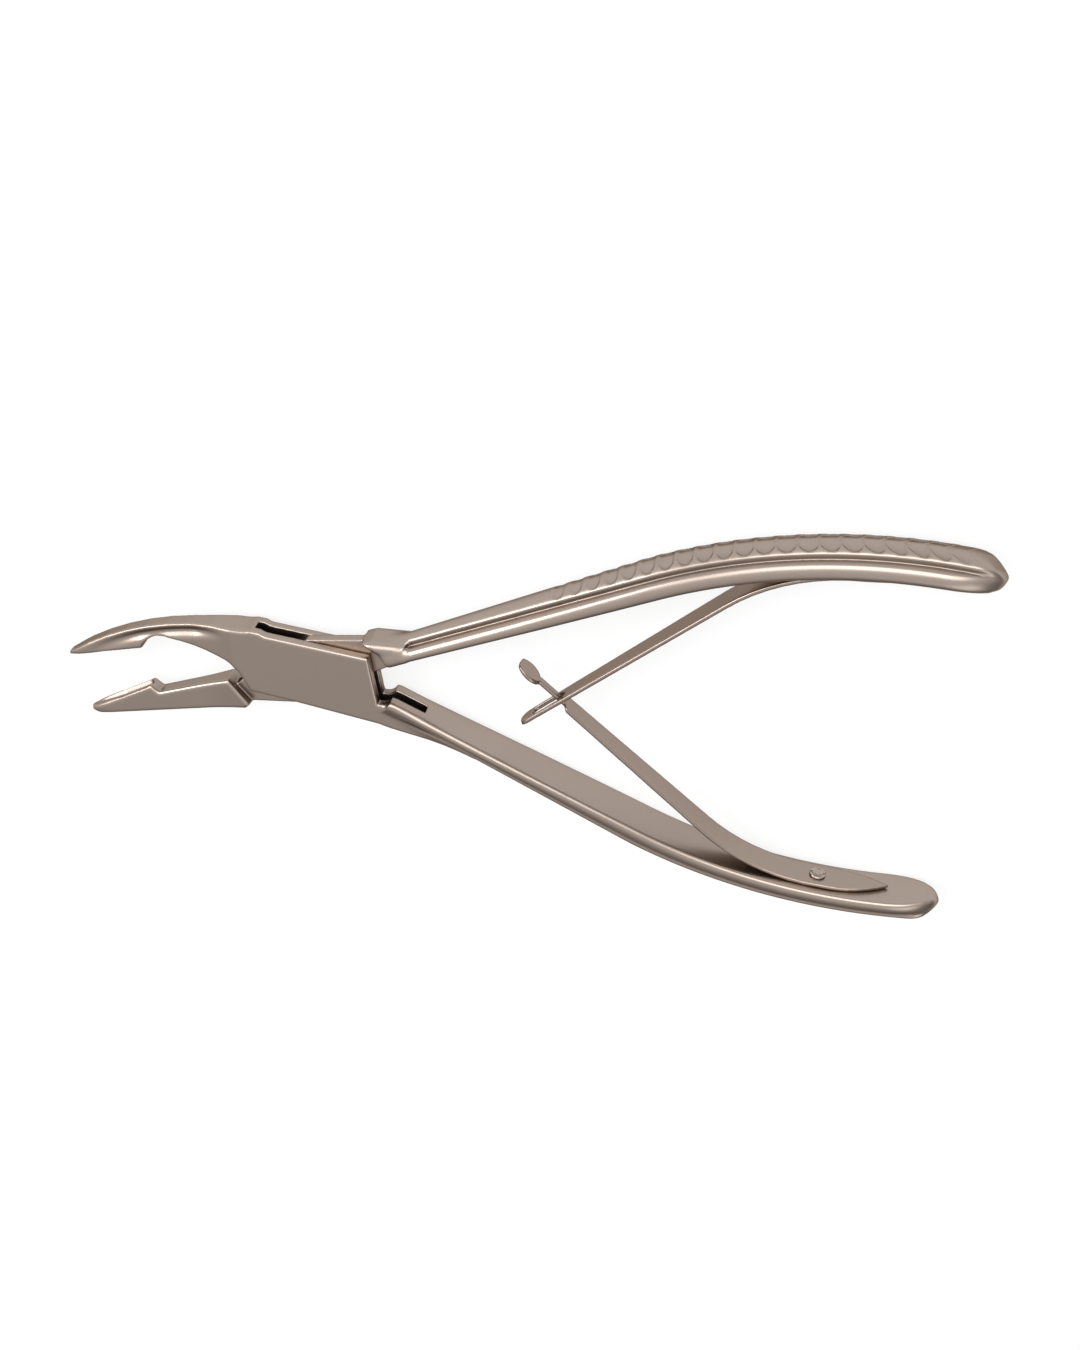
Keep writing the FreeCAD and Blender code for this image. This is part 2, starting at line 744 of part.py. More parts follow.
closing = size("closing_angle")
tongue_outline = outline("tongue", [
    turned((-size("tongue_root_reach"), -size("tongue_root_drop")), closing),
    turned((-size("tongue_root_reach"), -size("lower_end_drop")), closing),
    turned((-size("lower_end_reach"), -size("lower_end_drop")), closing),
    (-size("tongue_toe_reach"), -size("tongue_toe_drop")),
    (size("tongue_heel_reach"), size("tongue_heel_rise")),
    (size("shoulder_back_reach"), size("shoulder_top_rise")),
    (size("shoulder_top_reach"), size("shoulder_top_rise") - size("shoulder_top_fall")),
    box_top(-size("tongue_top_left")),
    turned((-size("tongue_flank_reach"), size("tongue_flank_rise")), closing),
])
shelf = size("shoulder_shelf_length")
shoulder_outline = outline("shoulder", [
    (size("shoulder_top_reach"), size("shoulder_top_rise")),
    (size("shoulder_foot_reach"), size("shoulder_foot_rise")),
    (size("shoulder_foot_reach") + shelf, size("shoulder_foot_rise") + size("shoulder_foot_lift")),
    (size("shoulder_back_reach") + shelf, size("shoulder_back_rise")),
    (size("shoulder_top_reach") + size("shoulder_ridge_length"), size("shoulder_top_rise") + size("shoulder_ridge_lift")),
])
tongue = extrude(tongue_outline, size("lock_slot_width") - size("tongue_side_play") * 2)
shoulder_half = SIZES["flange_root_width"] / 2
shoulder = rounded(
    "eased_shoulder", extrude(shoulder_outline, size("flange_root_width")),
    size("shoulder_edge_round"),
    lambda edge: abs(edge_height(edge) - shoulder_half) < EDGE_TOLERANCE)
lock_blank = fuse("lock_blank", [tongue, lower_jaw, shoulder, handle])
pivot_hole = doc.addObject("Part::Cylinder", "pivot_hole")
pivot_hole.setExpression("Radius", "sizes.pivot_pin_diameter / 2 + sizes.pivot_running_play")
pivot_hole.setExpression("Height", "sizes.box_thickness")
cupped_lock = cut("cupped_lock", lock_blank, bite_cup("lower_cup", closing))
lock_half = cut("lock_half", cupped_lock, pivot_hole)


# Leaf springs: each lies on its handle's inner face, leaves it in a bend and crosses the other

seat_level = inner_v - size("leaf_seat_play")
seat_radius = inner_radius - size("leaf_seat_play")
leave = size("leaf_leave_angle")
leaf = size("leaf_thickness")
bend_radius = size("leaf_bend_radius")
arm_lean = size("leaf_slope") - splay
bend_centre = tuple(a - b for a, b in zip(
    at_bend_angle(leave, seat_level, seat_radius),
    (bend_radius * sine(leave), bend_radius * cosine(leave))))


def off_bend(radius):
    """Where a leaf's bend of this radius runs out into its straight arm."""
    return (bend_centre[0] - radius * sine(arm_lean), bend_centre[1] + radius * cosine(arm_lean))


def along_arm(start, distance):
    return (start[0] - distance * cosine(arm_lean), start[1] - distance * sine(arm_lean))


def leaf_side(name, arm):
    """A leaf seen from the front, drawn in the frame of the upper handle."""
    outer, inner = off_bend(bend_radius), off_bend(bend_radius - leaf)
    root_angle = size("leaf_root_angle")
    return outline(name, [
        at_bend_angle(root_angle, seat_level, seat_radius),
        at_bend_angle(leave, seat_level, seat_radius),
        outer,
        along_arm(outer, arm),
        along_arm(inner, arm),
        inner,
        at_bend_angle(leave, seat_level - leaf, seat_radius - leaf),
        at_bend_angle(root_angle, seat_level - leaf, seat_radius - leaf),
    ], {
        0: (seat_radius, 1),
        1: (bend_radius, 1),
        5: (bend_radius - leaf, -1),
        6: (seat_radius - leaf, -1),
    }, splay)


def arm_reach(distance):
    """The reach along X of a place on a leaf's arm."""
    return turned(along_arm(off_bend(bend_radius), distance), splay)[0]


root_end = turned(at_bend_angle(size("leaf_root_angle"), seat_level, seat_radius), splay)[0]
leave_reach = turned(at_bend_angle(leave, seat_level, seat_radius), splay)[0]
root_half, bend_half = size("leaf_root_width") / 2, size("leaf_bend_width") / 2
arm_half = size("leaf_arm_width") / 2
root_length = size("leaf_root_length")
root_round = (root_half / 2 + root_length * root_length / (root_half * 2)) * ROOT_SHARE


def mirrored_corners(corners):
    """The corners of one side, followed by those of the other side on the way back."""
    return corners + [(x, -y) for x, y in reversed(corners)]


def slotted_plan():
    """The slotted leaf from its edge: round root, narrowing arm and round tip."""
    tip = arm_reach(size("slotted_leaf_arm"))
    tip_half = arm_half - size("leaf_tip_narrowing")
    rows = mirrored_corners([
        (root_end - root_length, root_half),
        (leave_reach, root_half),
        (arm_reach(ZERO), bend_half),
        (arm_reach(size("slot_leaf_inner")), arm_half),
        (tip + tip_half, tip_half),
    ])
    rows.insert(5, (tip, ZERO))
    rows.append((root_end, ZERO))
    return plan("slotted_leaf_plan", rows, {
        4: (tip_half * 1.05, 1), 5: (tip_half * 1.05, 1),
        10: (root_round, 1), 11: (root_round, 1),
    })


def headed_plan():
    """The headed leaf from its edge: round root, arm, neck and round head."""
    tip = arm_reach(size("headed_leaf_arm"))
    neck_half, head_radius = size("neck_width") / 2, size("head_width") / 2
    head_start = tip + head_radius + root(head_radius * head_radius - neck_half * neck_half)
    rows = mirrored_corners([
        (root_end - root_length, root_half),
        (leave_reach, root_half),
        (arm_reach(ZERO), bend_half),
        (arm_reach(size("neck_start") - size("neck_taper")), arm_half),
        (arm_reach(size("neck_start")), neck_half),
        (head_start, neck_half),
    ])
    rows.insert(6, (tip, ZERO))
    rows.append((root_end, ZERO))
    return plan("headed_leaf_plan", rows, {
        5: (head_radius, 1), 6: (head_radius, 1),
        12: (root_round, 1), 13: (root_round, 1),
    })


screw_hole = round_bar(
    "screw_hole", hole_size + size("screw_hole_play") * 2, size("screw_length"),
    (hole_start[0], hole_start[1], MID_PLANE), screw_turn)
slotted_side = extrude(leaf_side("slotted_leaf", size("slotted_leaf_arm")), CUT_THROUGH)
headed_side = extrude(leaf_side("headed_leaf", size("headed_leaf_arm")), CUT_THROUGH)
slotted_blank = common("slotted_leaf_blank", [slotted_side, extrude(slotted_plan(), WIDE_CUT)])
headed_blank = common("headed_leaf_blank", [headed_side, extrude(headed_plan(), WIDE_CUT)])
slot_half = size("slot_leaf_width") / 2
leaf_slot = extrude(plan("leaf_slot", [
    (arm_reach(size("slot_leaf_inner")), -slot_half),
    (arm_reach(size("slot_leaf_inner")), slot_half),
    (arm_reach(size("slot_leaf_outer")), slot_half),
    (arm_reach(size("slot_leaf_outer")), -slot_half),
], {2: (slot_half * 1.1, 1)}), CUT_THROUGH)
drilled_slotted_leaf = cut("drilled_slotted_leaf", slotted_blank, screw_hole)
upper_spring = cut("upper_spring", drilled_slotted_leaf, leaf_slot)
lower_spring = mirrored(cut("headed_spring", headed_blank, screw_hole))


def spring_screw(name, spot, turn):
    """A slotted cheese-head screw that points along +Y before its turn."""
    body = doc.addObject("PartDesign::Body", name)
    planes = {feature.Role: feature for feature in body.Origin.OriginFeatures}
    head, shank = size("screw_head_diameter") / 2, hole_size / 2
    under = size("leaf_thickness") + size("leaf_seat_play") * 2
    ease, point = size("screw_head_ease"), size("screw_point_ease")
    sketch = body.newObject("Sketcher::SketchObject", f"{name}_profile")
    sketch.AttachmentSupport = (planes["XY_Plane"], [""])
    sketch.MapMode = "FlatFace"
    trace(sketch, [
        (ZERO, -under - size("screw_head_height")),
        (head - ease, -under - size("screw_head_height")),
        (head, -under - size("screw_head_height") + ease),
        (head, -under),
        (shank, -under),
        (shank, size("screw_length") - under - point),
        (shank - point, size("screw_length") - under),
        (ZERO, size("screw_length") - under),
    ], {})
    turning = body.newObject("PartDesign::Revolution", f"{name}_turned")
    turning.Profile = sketch
    turning.ReferenceAxis = (sketch, ["V_Axis"])
    turning.Angle = 360
    doc.recompute()
    groove = body.newObject("Sketcher::SketchObject", f"{name}_drive")
    groove.AttachmentSupport = (planes["XY_Plane"], [""])
    groove.MapMode = "FlatFace"
    half = size("screw_drive_width") / 2
    top = -under - size("screw_head_height")
    trace(groove, [
        (-head * 1.5, top - overrun), (head * 1.5, top - overrun),
        (head * 1.5, top + size("screw_drive_depth")), (-head * 1.5, top + size("screw_drive_depth")),
    ], {})
    pocket = body.newObject("PartDesign::Pocket", f"{name}_slot")
    pocket.Profile = groove
    pocket.Midplane = True
    pocket.setExpression("Length", (half * 2).formula)
    body.setExpression("Placement", (
        f"placement(vector({spot[0].formula}; {spot[1].formula}; {MID_PLANE.formula});"
        f" rotation(vector(0; 0; 1); {turn.formula}))"))
    return body


upper_screw = spring_screw("upper_spring_screw", screw_seat, screw_turn)
lower_screw = spring_screw("lower_spring_screw", (screw_seat[0], -screw_seat[1]), HALF_TURN - screw_turn)


def pivot_pin():
    """The pin that is riveted flush with both cheeks."""
    body = doc.addObject("PartDesign::Body", "pivot_pin")
    planes = {feature.Role: feature for feature in body.Origin.OriginFeatures}
    sketch = body.newObject("Sketcher::SketchObject", "pin_circle")
    sketch.AttachmentSupport = (planes["XY_Plane"], [""])
    sketch.MapMode = "FlatFace"
    sketch.addGeometry(Part.Circle(FreeCAD.Vector(), FreeCAD.Vector(0, 0, 1), 1))
    sketch.addConstraint(Sketcher.Constraint("Coincident", 0, 3, -1, 1))
    sketch.addConstraint(Sketcher.Constraint("Diameter", 0, 2))
    sketch.setExpression("Constraints[1]", "sizes.pivot_pin_diameter")
    shaft = body.newObject("PartDesign::Pad", "pin_shaft")
    shaft.Profile = sketch
    shaft.setExpression("Length", "sizes.box_thickness")
    return body


PARTS = {
    "box_half": box_half,
    "lock_half": lock_half,
    "pivot_pin": pivot_pin(),
    "upper_spring": upper_spring,
    "lower_spring": lower_spring,
    "upper_spring_screw": upper_screw,
    "lower_spring_screw": lower_screw,
}
for label, piece in PARTS.items():
    piece.Label = label
doc.recompute()

for item in doc.Objects:
    if "Invalid" in item.State or "Error" in item.State:
        raise RuntimeError(f"{item.Label} did not build: {item.State}")
for label, piece in PARTS.items():
    if piece.Shape.isNull() or not piece.Shape.isValid() or len(piece.Shape.Solids) != 1:
        raise RuntimeError(f"{label} is not one valid solid")

os.makedirs("parts", exist_ok=True)
for label, piece in PARTS.items():
    piece.Shape.exportStep(f"parts/{label}.step")
    print(label, round(piece.Shape.Volume, 1), "mm3")
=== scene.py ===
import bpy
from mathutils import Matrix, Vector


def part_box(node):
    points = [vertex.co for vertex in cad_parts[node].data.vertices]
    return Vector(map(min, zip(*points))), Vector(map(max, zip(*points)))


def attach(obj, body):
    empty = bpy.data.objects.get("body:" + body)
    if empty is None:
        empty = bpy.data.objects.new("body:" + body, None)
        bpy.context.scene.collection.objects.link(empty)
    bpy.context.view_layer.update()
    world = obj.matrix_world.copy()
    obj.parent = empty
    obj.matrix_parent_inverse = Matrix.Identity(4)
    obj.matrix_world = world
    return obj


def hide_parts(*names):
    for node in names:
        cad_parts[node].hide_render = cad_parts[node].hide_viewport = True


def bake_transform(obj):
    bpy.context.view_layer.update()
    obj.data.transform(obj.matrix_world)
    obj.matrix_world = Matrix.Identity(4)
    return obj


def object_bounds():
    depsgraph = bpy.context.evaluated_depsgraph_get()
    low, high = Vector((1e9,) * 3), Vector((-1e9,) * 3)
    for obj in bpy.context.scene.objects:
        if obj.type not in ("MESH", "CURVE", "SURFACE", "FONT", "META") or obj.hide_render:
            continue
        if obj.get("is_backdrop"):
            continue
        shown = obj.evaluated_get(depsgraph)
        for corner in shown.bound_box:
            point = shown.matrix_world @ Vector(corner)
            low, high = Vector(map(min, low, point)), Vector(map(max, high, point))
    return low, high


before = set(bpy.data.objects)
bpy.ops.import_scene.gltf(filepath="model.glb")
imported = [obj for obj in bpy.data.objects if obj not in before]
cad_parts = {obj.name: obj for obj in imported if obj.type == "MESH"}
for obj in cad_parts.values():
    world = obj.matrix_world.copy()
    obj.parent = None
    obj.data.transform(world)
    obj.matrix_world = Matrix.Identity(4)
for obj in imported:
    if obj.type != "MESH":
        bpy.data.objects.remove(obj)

"""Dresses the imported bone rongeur: satin steel finishes, studio, floor and camera.

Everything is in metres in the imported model's own frame. X runs from the pivot towards the
handles, Y lies in the plane in which the tool opens, and Z is its thickness.
"""

import logging
import math
from dataclasses import dataclass
from enum import Enum
from typing import Dict, List, Sequence, Tuple

import bpy
import numpy as np
from mathutils import Matrix, Vector

logging.basicConfig(level=logging.INFO, format="%(message)s")
log = logging.getLogger("rongeur")

MM = 0.001
ARC_STEP = 5.0
Colour = Tuple[float, float, float]


def linear(hex_code: str) -> Colour:
    """Converts an sRGB hex colour to the linear values that the shaders take.

    Args:
        hex_code: Six hex digits, such as "C5BBB3".

    Returns:
        The red, green and blue shares in linear light.
    """
    channels = [int(hex_code[i:i + 2], 16) / 255 for i in (0, 2, 4)]
    return tuple(c / 12.92 if c <= 0.04045 else ((c + 0.055) / 1.055) ** 2.4 for c in channels)


def add_node(tree: bpy.types.NodeTree, kind: str, **inputs) -> bpy.types.Node:
    """Adds a shader node and sets its inputs.

    Args:
        tree: The material's or the world's node tree.
        kind: Type of the node.
        inputs: A value or another node's output for each named input.

    Returns:
        The new node.
    """
    node = tree.nodes.new(kind)
    for name, value in inputs.items():
        socket = node.inputs[name.replace("_", " ")]
        if isinstance(value, bpy.types.NodeSocket):
            tree.links.new(value, socket)
        else:
            socket.default_value = value
    return node


# Finishes

@dataclass(frozen=True)
class SteelFinish:
    """How a stainless surface was finished.

    Attributes:
        name: Name of the material.
        slot: Material slot of the record that it stands for; not used.
        colour: Face-on reflectance as a hex colour.
        painted_shade: Darker colour painted into grooves and hollows as shade.
        rim: Reflectance seen nearly edge-on, as a share of white.
        roughness: Mean roughness of the finish.
        mottle: How far the roughness wanders between worn and fresh patches.
        grain: Length of one brush mark in millimetres.
        depth: Height of the brush marks in millimetres.
    """

    name: str
    slot: str
    colour: str
    painted_shade: str
    rim: str
    roughness: float
    mottle: float
    grain: float
    depth: float


# Painted shade: the darker colour that ambient occlusion mixes into grooves and hollows.
PAINTED_SHADE = "453A33"
RIM = "9A8F87"

# Forged, blasted with fine beads and brushed: broad soft highlights and a warm, even grey.
FORGED = SteelFinish("forged_stainless_satin_blasted", "satin_steel", "A6988E", PAINTED_SHADE, RIM,
                     roughness=0.30, mottle=0.06, grain=0.16, depth=0.004)
# Strip ground along its length: a finer grain and a slightly tighter sheen than the forgings.
STRIP = SteelFinish("spring_strip_ground_lengthwise", "spring_steel", "A09187", PAINTED_SHADE, RIM,
                    roughness=0.28, mottle=0.05, grain=0.12, depth=0.003)
# Turned and lightly polished: the brightest metal here, with small crisp glints on its edges.
TURNED = SteelFinish("screw_steel_turned", "screw_steel", "ADA096", PAINTED_SHADE, RIM,
                     roughness=0.24, mottle=0.04, grain=0.10, depth=0.002)


class SteelMaterial:
    """Stainless steel whose satin finish is a fine grain of bumps with slow wander in gloss, with
    painted shade in its hollows.
    """

    WANDER = 9.0
    BUMP_STRENGTH = 0.35
    # Reach, rays and thresholds of the ambient occlusion that paints shade into grooves and hollows.
    SHADE_REACH = 2.0
    SHADE_RAYS = 8
    FULL_SHADE_AO = 0.35
    NO_SHADE_AO = 0.96

    def __init__(self, finish: SteelFinish) -> None:
        """Makes the material of a finish."""
        self.finish = finish
        self.material = bpy.data.materials.new(finish.name)
        self.material.use_nodes = True
        self.tree = self.material.node_tree
        self.tree.nodes.clear()
        self._build()

    def _build(self) -> None:
        """Lays out the shader: object coordinates, wander, grain, and the metal itself."""
        finish, tree = self.finish, self.tree
        place = add_node(tree, "ShaderNodeTexCoord")
        wander = add_node(tree, "ShaderNodeTexNoise", Vector=place.outputs["Object"],
                          Scale=1 / (self.WANDER * MM), Detail=3.0, Roughness=0.55)
        gloss = add_node(tree, "ShaderNodeMapRange", Value=wander.outputs["Fac"])
        gloss.inputs["To Min"].default_value = finish.roughness - finish.mottle
        gloss.inputs["To Max"].default_value = finish.roughness + finish.mottle
        grain = add_node(tree, "ShaderNodeTexNoise", Vector=place.outputs["Object"],
                         Scale=1 / (finish.grain * MM), Detail=2.0, Roughness=0.6)
        bump = add_node(tree, "ShaderNodeBump", Height=grain.outputs["Fac"],
                        Strength=self.BUMP_STRENGTH, Distance=finish.depth * MM)
        metal = add_node(tree, "ShaderNodeBsdfPrincipled", Roughness=gloss.outputs["Result"],
                         Normal=bump.outputs["Normal"])
        tree.links.new(self._shaded_colour(), metal.inputs["Base Color"])
        metal.inputs["Metallic"].default_value = 1.0
        metal.inputs["Specular Tint"].default_value = (*linear(finish.rim), 1)
        end = add_node(tree, "ShaderNodeOutputMaterial", Surface=metal.outputs["BSDF"])
        end.is_active_output = True

    def _shaded_colour(self) -> bpy.types.NodeSocket:
        """Mixes painted shade into the steel's colour: darker in grooves and hollows that ambient
        occlusion finds.

        Returns:
            The output that carries the colour.
        """
        # Painted shade: ambient occlusion darkens the colour in grooves and hollows.
        occlusion = add_node(self.tree, "ShaderNodeAmbientOcclusion",
                            Distance=self.SHADE_REACH * MM)
        occlusion.only_local = True
        occlusion.samples = self.SHADE_RAYS
        unshaded_share = add_node(self.tree, "ShaderNodeMapRange", Value=occlusion.outputs["AO"])
        unshaded_share.inputs["From Min"].default_value = self.FULL_SHADE_AO
        unshaded_share.inputs["From Max"].default_value = self.NO_SHADE_AO
        tone = add_node(self.tree, "ShaderNodeMix")
        tone.data_type = "RGBA"
        painted_shade, face, result = tone.inputs[6], tone.inputs[7], tone.outputs[2]
        self.tree.links.new(unshaded_share.outputs["Result"], tone.inputs[0])
        painted_shade.default_value = (*linear(self.finish.painted_shade), 1)
        face.default_value = (*linear(self.finish.colour), 1)
        return result

    def dress(self, piece: bpy.types.Object) -> None:
        """Puts this material on a piece, in place of what it has.

        Args:
            piece: The piece to dress.
        """
        piece.data.materials.clear()
        piece.data.materials.append(self.material)


# Shape tools: signed distances in millimetres, negative inside

Point = Tuple[float, float]
Arcs = Dict[int, Tuple[float, int]]


def turned(point: Point, degrees: float) -> Point:
    """Turns a point about the pivot.

    Args:
        point: The point.
        degrees: Angle, positive from X towards Y.

    Returns:
        The turned point.
    """
    angle = math.radians(degrees)
    x, y = point
    return (x * math.cos(angle) - y * math.sin(angle), x * math.sin(angle) + y * math.cos(angle))


def distance(start: Point, end: Point) -> float:
    """The length from one point to another."""
    return math.hypot(end[0] - start[0], end[1] - start[1])


def arc_points(start: Point, end: Point, radius: float, side: int) -> List[Point]:
    """Points along the short arc from start to just before end.

    Args:
        start: Where the arc begins.
        end: Where it ends.
        radius: Its radius in millimetres.
        side: +1 with its centre on the left of the way from start to end, -1 on the right.

    Returns:
        The start and evenly spaced points that follow it.
    """
    half = distance(start, end) / 2
    height = math.sqrt(radius * radius - half * half)
    left = (-(end[1] - start[1]) / half / 2, (end[0] - start[0]) / half / 2)
    centre = ((start[0] + end[0]) / 2 + left[0] * height * side,
              (start[1] + end[1]) / 2 + left[1] * height * side)
    first = math.atan2(start[1] - centre[1], start[0] - centre[0])
    sweep = 2 * math.asin(half / radius) * side
    steps = max(2, math.ceil(abs(sweep) / math.radians(ARC_STEP)))
    return [(centre[0] + radius * math.cos(first + sweep * i / steps),
             centre[1] + radius * math.sin(first + sweep * i / steps)) for i in range(steps)]


def outline(corners: Sequence[Point], arcs: Arcs, turn: float = 0.0) -> List[Point]:
    """A closed outline with round stretches.

    Args:
        corners: Its corners in order.
        arcs: Radius and side of the arc that starts at a corner, by that corner's number.
        turn: Degrees by which the outline turns about the pivot.

    Returns:
        The corners and the points of the arcs.
    """
    points: List[Point] = []
    for i, start in enumerate(corners):
        end = corners[(i + 1) % len(corners)]
        points += arc_points(start, end, *arcs[i]) if i in arcs else [start]
    return [turned(point, turn) for point in points]


def outline_distance(x: np.ndarray, y: np.ndarray, corners: Sequence[Point]) -> np.ndarray:
    """The signed distance of sample points to a closed outline.

    Args:
        x: First coordinate of the sample points.
        y: Second coordinate of the sample points.
        corners: Points of the outline in order.

    Returns:
        The distances, negative inside.
    """
    nearest = np.full(np.broadcast(x, y).shape, np.inf, dtype=np.float32)
    inside = np.zeros(nearest.shape, dtype=bool)
    for (ax, ay), (bx, by) in zip(corners, list(corners[1:]) + [corners[0]]):
        run, rise = bx - ax, by - ay
        px, py = x - ax, y - ay
        share = np.clip((px * run + py * rise) / (run * run + rise * rise), 0, 1)
        nearest = np.minimum(nearest, (px - run * share) ** 2 + (py - rise * share) ** 2)
        inside ^= ((ay > y) != (by > y)) & (px < run * py / (rise or 1.0))
    return np.where(inside, -1, 1) * np.sqrt(nearest)


def join(a: np.ndarray, b: np.ndarray, softness: float) -> np.ndarray:
    """Both shapes in one, with a fillet as wide as the softness in millimetres."""
    share = np.clip(0.5 + 0.5 * (b - a) / softness, 0, 1)
    return b * (1 - share) + a * share - softness * share * (1 - share)


def overlap(a: np.ndarray, b: np.ndarray, softness: float) -> np.ndarray:
    """What lies in both shapes, with its new edges rounded by the softness in millimetres."""
    return -join(-a, -b, softness)


class Lattice:
    """Evenly spaced sample points round a piece, and the skin of a shape sampled on them."""

    SPARE_CELLS = 3
    SETTLING_STEPS = 4

    SETTLING_LIMIT = 0.5

    def __init__(self, lowest: Sequence[float], highest: Sequence[float], step: float) -> None:
        """Spans the sample points over a box with some cells to spare.

        Args:
            lowest: Lowest corner of the box in metres.
            highest: Highest corner of the box in metres.
            step: Distance between sample points in millimetres.
        """
        self.step = step
        axes = [np.arange(low / MM - self.SPARE_CELLS * step, high / MM + self.SPARE_CELLS * step,
                          step, dtype=np.float32) for low, high in zip(lowest, highest)]
        self.origin = np.array([axis[0] for axis in axes])
        self.x = axes[0][:, None, None]
        self.y = axes[1][None, :, None]
        self.w = axes[2][None, None, :] - BoxForm.thickness / 2

    def skin(self, name: str, shape: np.ndarray) -> bpy.types.Object:
        """Wraps the shape in a smooth mesh.

        Args:
            name: Name of the new object.
            shape: Signed distances at the sample points.

        Returns:
            The object, with normals taken from the shape itself.
        """
        places, cells = self._places(shape)
        gradient = np.stack([shape] + list(np.gradient(shape)), axis=-1)
        for _ in range(self.SETTLING_STEPS):
            here = self._sample(gradient, places)
            slope = here[:, 1:]
            push = slope * (here[:, :1] / np.maximum((slope ** 2).sum(1, keepdims=True), 1e-6))
            places = places - np.clip(push, -self.SETTLING_LIMIT, self.SETTLING_LIMIT)
        normals = self._sample(gradient, places)[:, 1:]
        normals /= np.maximum(np.linalg.norm(normals, axis=1, keepdims=True), 1e-9)
        mesh = bpy.data.meshes.new(name)
        corners = (self.origin + places * self.step) * MM
        mesh.from_pydata(corners.tolist(), [], self._faces(shape < 0, cells).tolist())
        mesh.polygons.foreach_set("use_smooth", [True] * len(mesh.polygons))
        mesh.normals_split_custom_set_from_vertices(normals.tolist())
        piece = bpy.data.objects.new(name, mesh)
        bpy.context.scene.collection.objects.link(piece)
        log.info("%s: %d faces", name, len(mesh.polygons))
        return piece

    def _places(self, shape: np.ndarray) -> Tuple[np.ndarray, np.ndarray]:
        """Puts one point in each cell that the surface crosses.

        Args:
            shape: Signed distances at the sample points.

        Returns:
            The points in cells, and for each cell the number of its point.
        """
        corner_list = [(i, j, k) for i in (0, 1) for j in (0, 1) for k in (0, 1)]
        size = [n - 1 for n in shape.shape]
        count = np.zeros(size, dtype=np.uint8)
        for i, j, k in corner_list:
            count += shape[i:i + size[0], j:j + size[1], k:k + size[2]] < 0
        crossed = (count > 0) & (count < len(corner_list))
        numbers = np.full(size, -1, dtype=np.int64)
        numbers[crossed] = np.arange(crossed.sum())
        base = np.argwhere(crossed)
        total, hits = np.zeros(base.shape), np.zeros((len(base), 1))
        for start in corner_list:
            for axis in range(3):
                if start[axis]:
                    continue
                end = tuple(n + (d == axis) for d, n in enumerate(start))
                a, b = (shape[tuple((base + corner).T)] for corner in (start, end))
                cuts = (a < 0) != (b < 0)
                share = np.where(cuts, a / np.where(cuts, a - b, 1), 0)[:, None]
                way = np.array(start) + (np.array(end) - np.array(start)) * share
                total += np.where(cuts[:, None], way, 0)
                hits += cuts[:, None]
        return base + total / hits, numbers

    def _sample(self, values: np.ndarray, places: np.ndarray) -> np.ndarray:
        """Blends values for places between the sample points.

        Args:
            values: One row of values for each sample point.
            places: Places in cells.

        Returns:
            One row of values for each place.
        """
        limit = np.array(values.shape[:3]) - 2
        base = np.clip(np.floor(places).astype(np.int64), 0, limit)
        share = (places - base)[:, :, None]
        result = np.zeros((len(places), values.shape[3]))
        for i in (0, 1):
            for j in (0, 1):
                for k in (0, 1):
                    weight = np.prod([share[:, d] if n else 1 - share[:, d]
                                      for d, n in enumerate((i, j, k))], axis=0)
                    result += weight * values[base[:, 0] + i, base[:, 1] + j, base[:, 2] + k]
        return result

    def _faces(self, inside: np.ndarray, cells: np.ndarray) -> np.ndarray:
        """Makes one quad for each pair of neighbouring sample points that the surface parts.

        Args:
            inside: Whether each sample point lies in the shape.
            cells: Number of the point in each cell.

        Returns:
            The numbers of the four corners of each quad.
        """
        quads = []
        for axis in range(3):
            second, third = (axis + 1) % 3, (axis + 2) % 3
            step = np.eye(3, dtype=np.int64)
            here = np.take(inside, range(inside.shape[axis] - 1), axis)
            there = np.take(inside, range(1, inside.shape[axis]), axis)
            for leaving, order in ((True, (0, 1, 2, 3)), (False, (3, 2, 1, 0))):
                spots = np.argwhere((here != there) & (here == leaving))
                ring = [-step[second] - step[third], -step[third], 0 * step[axis], -step[second]]
                corners = [cells[tuple((spots + ring[i]).T)] for i in order]
                quads.append(np.stack(corners, axis=1))
        return np.concatenate(quads)


# Forms of the tool, in millimetres

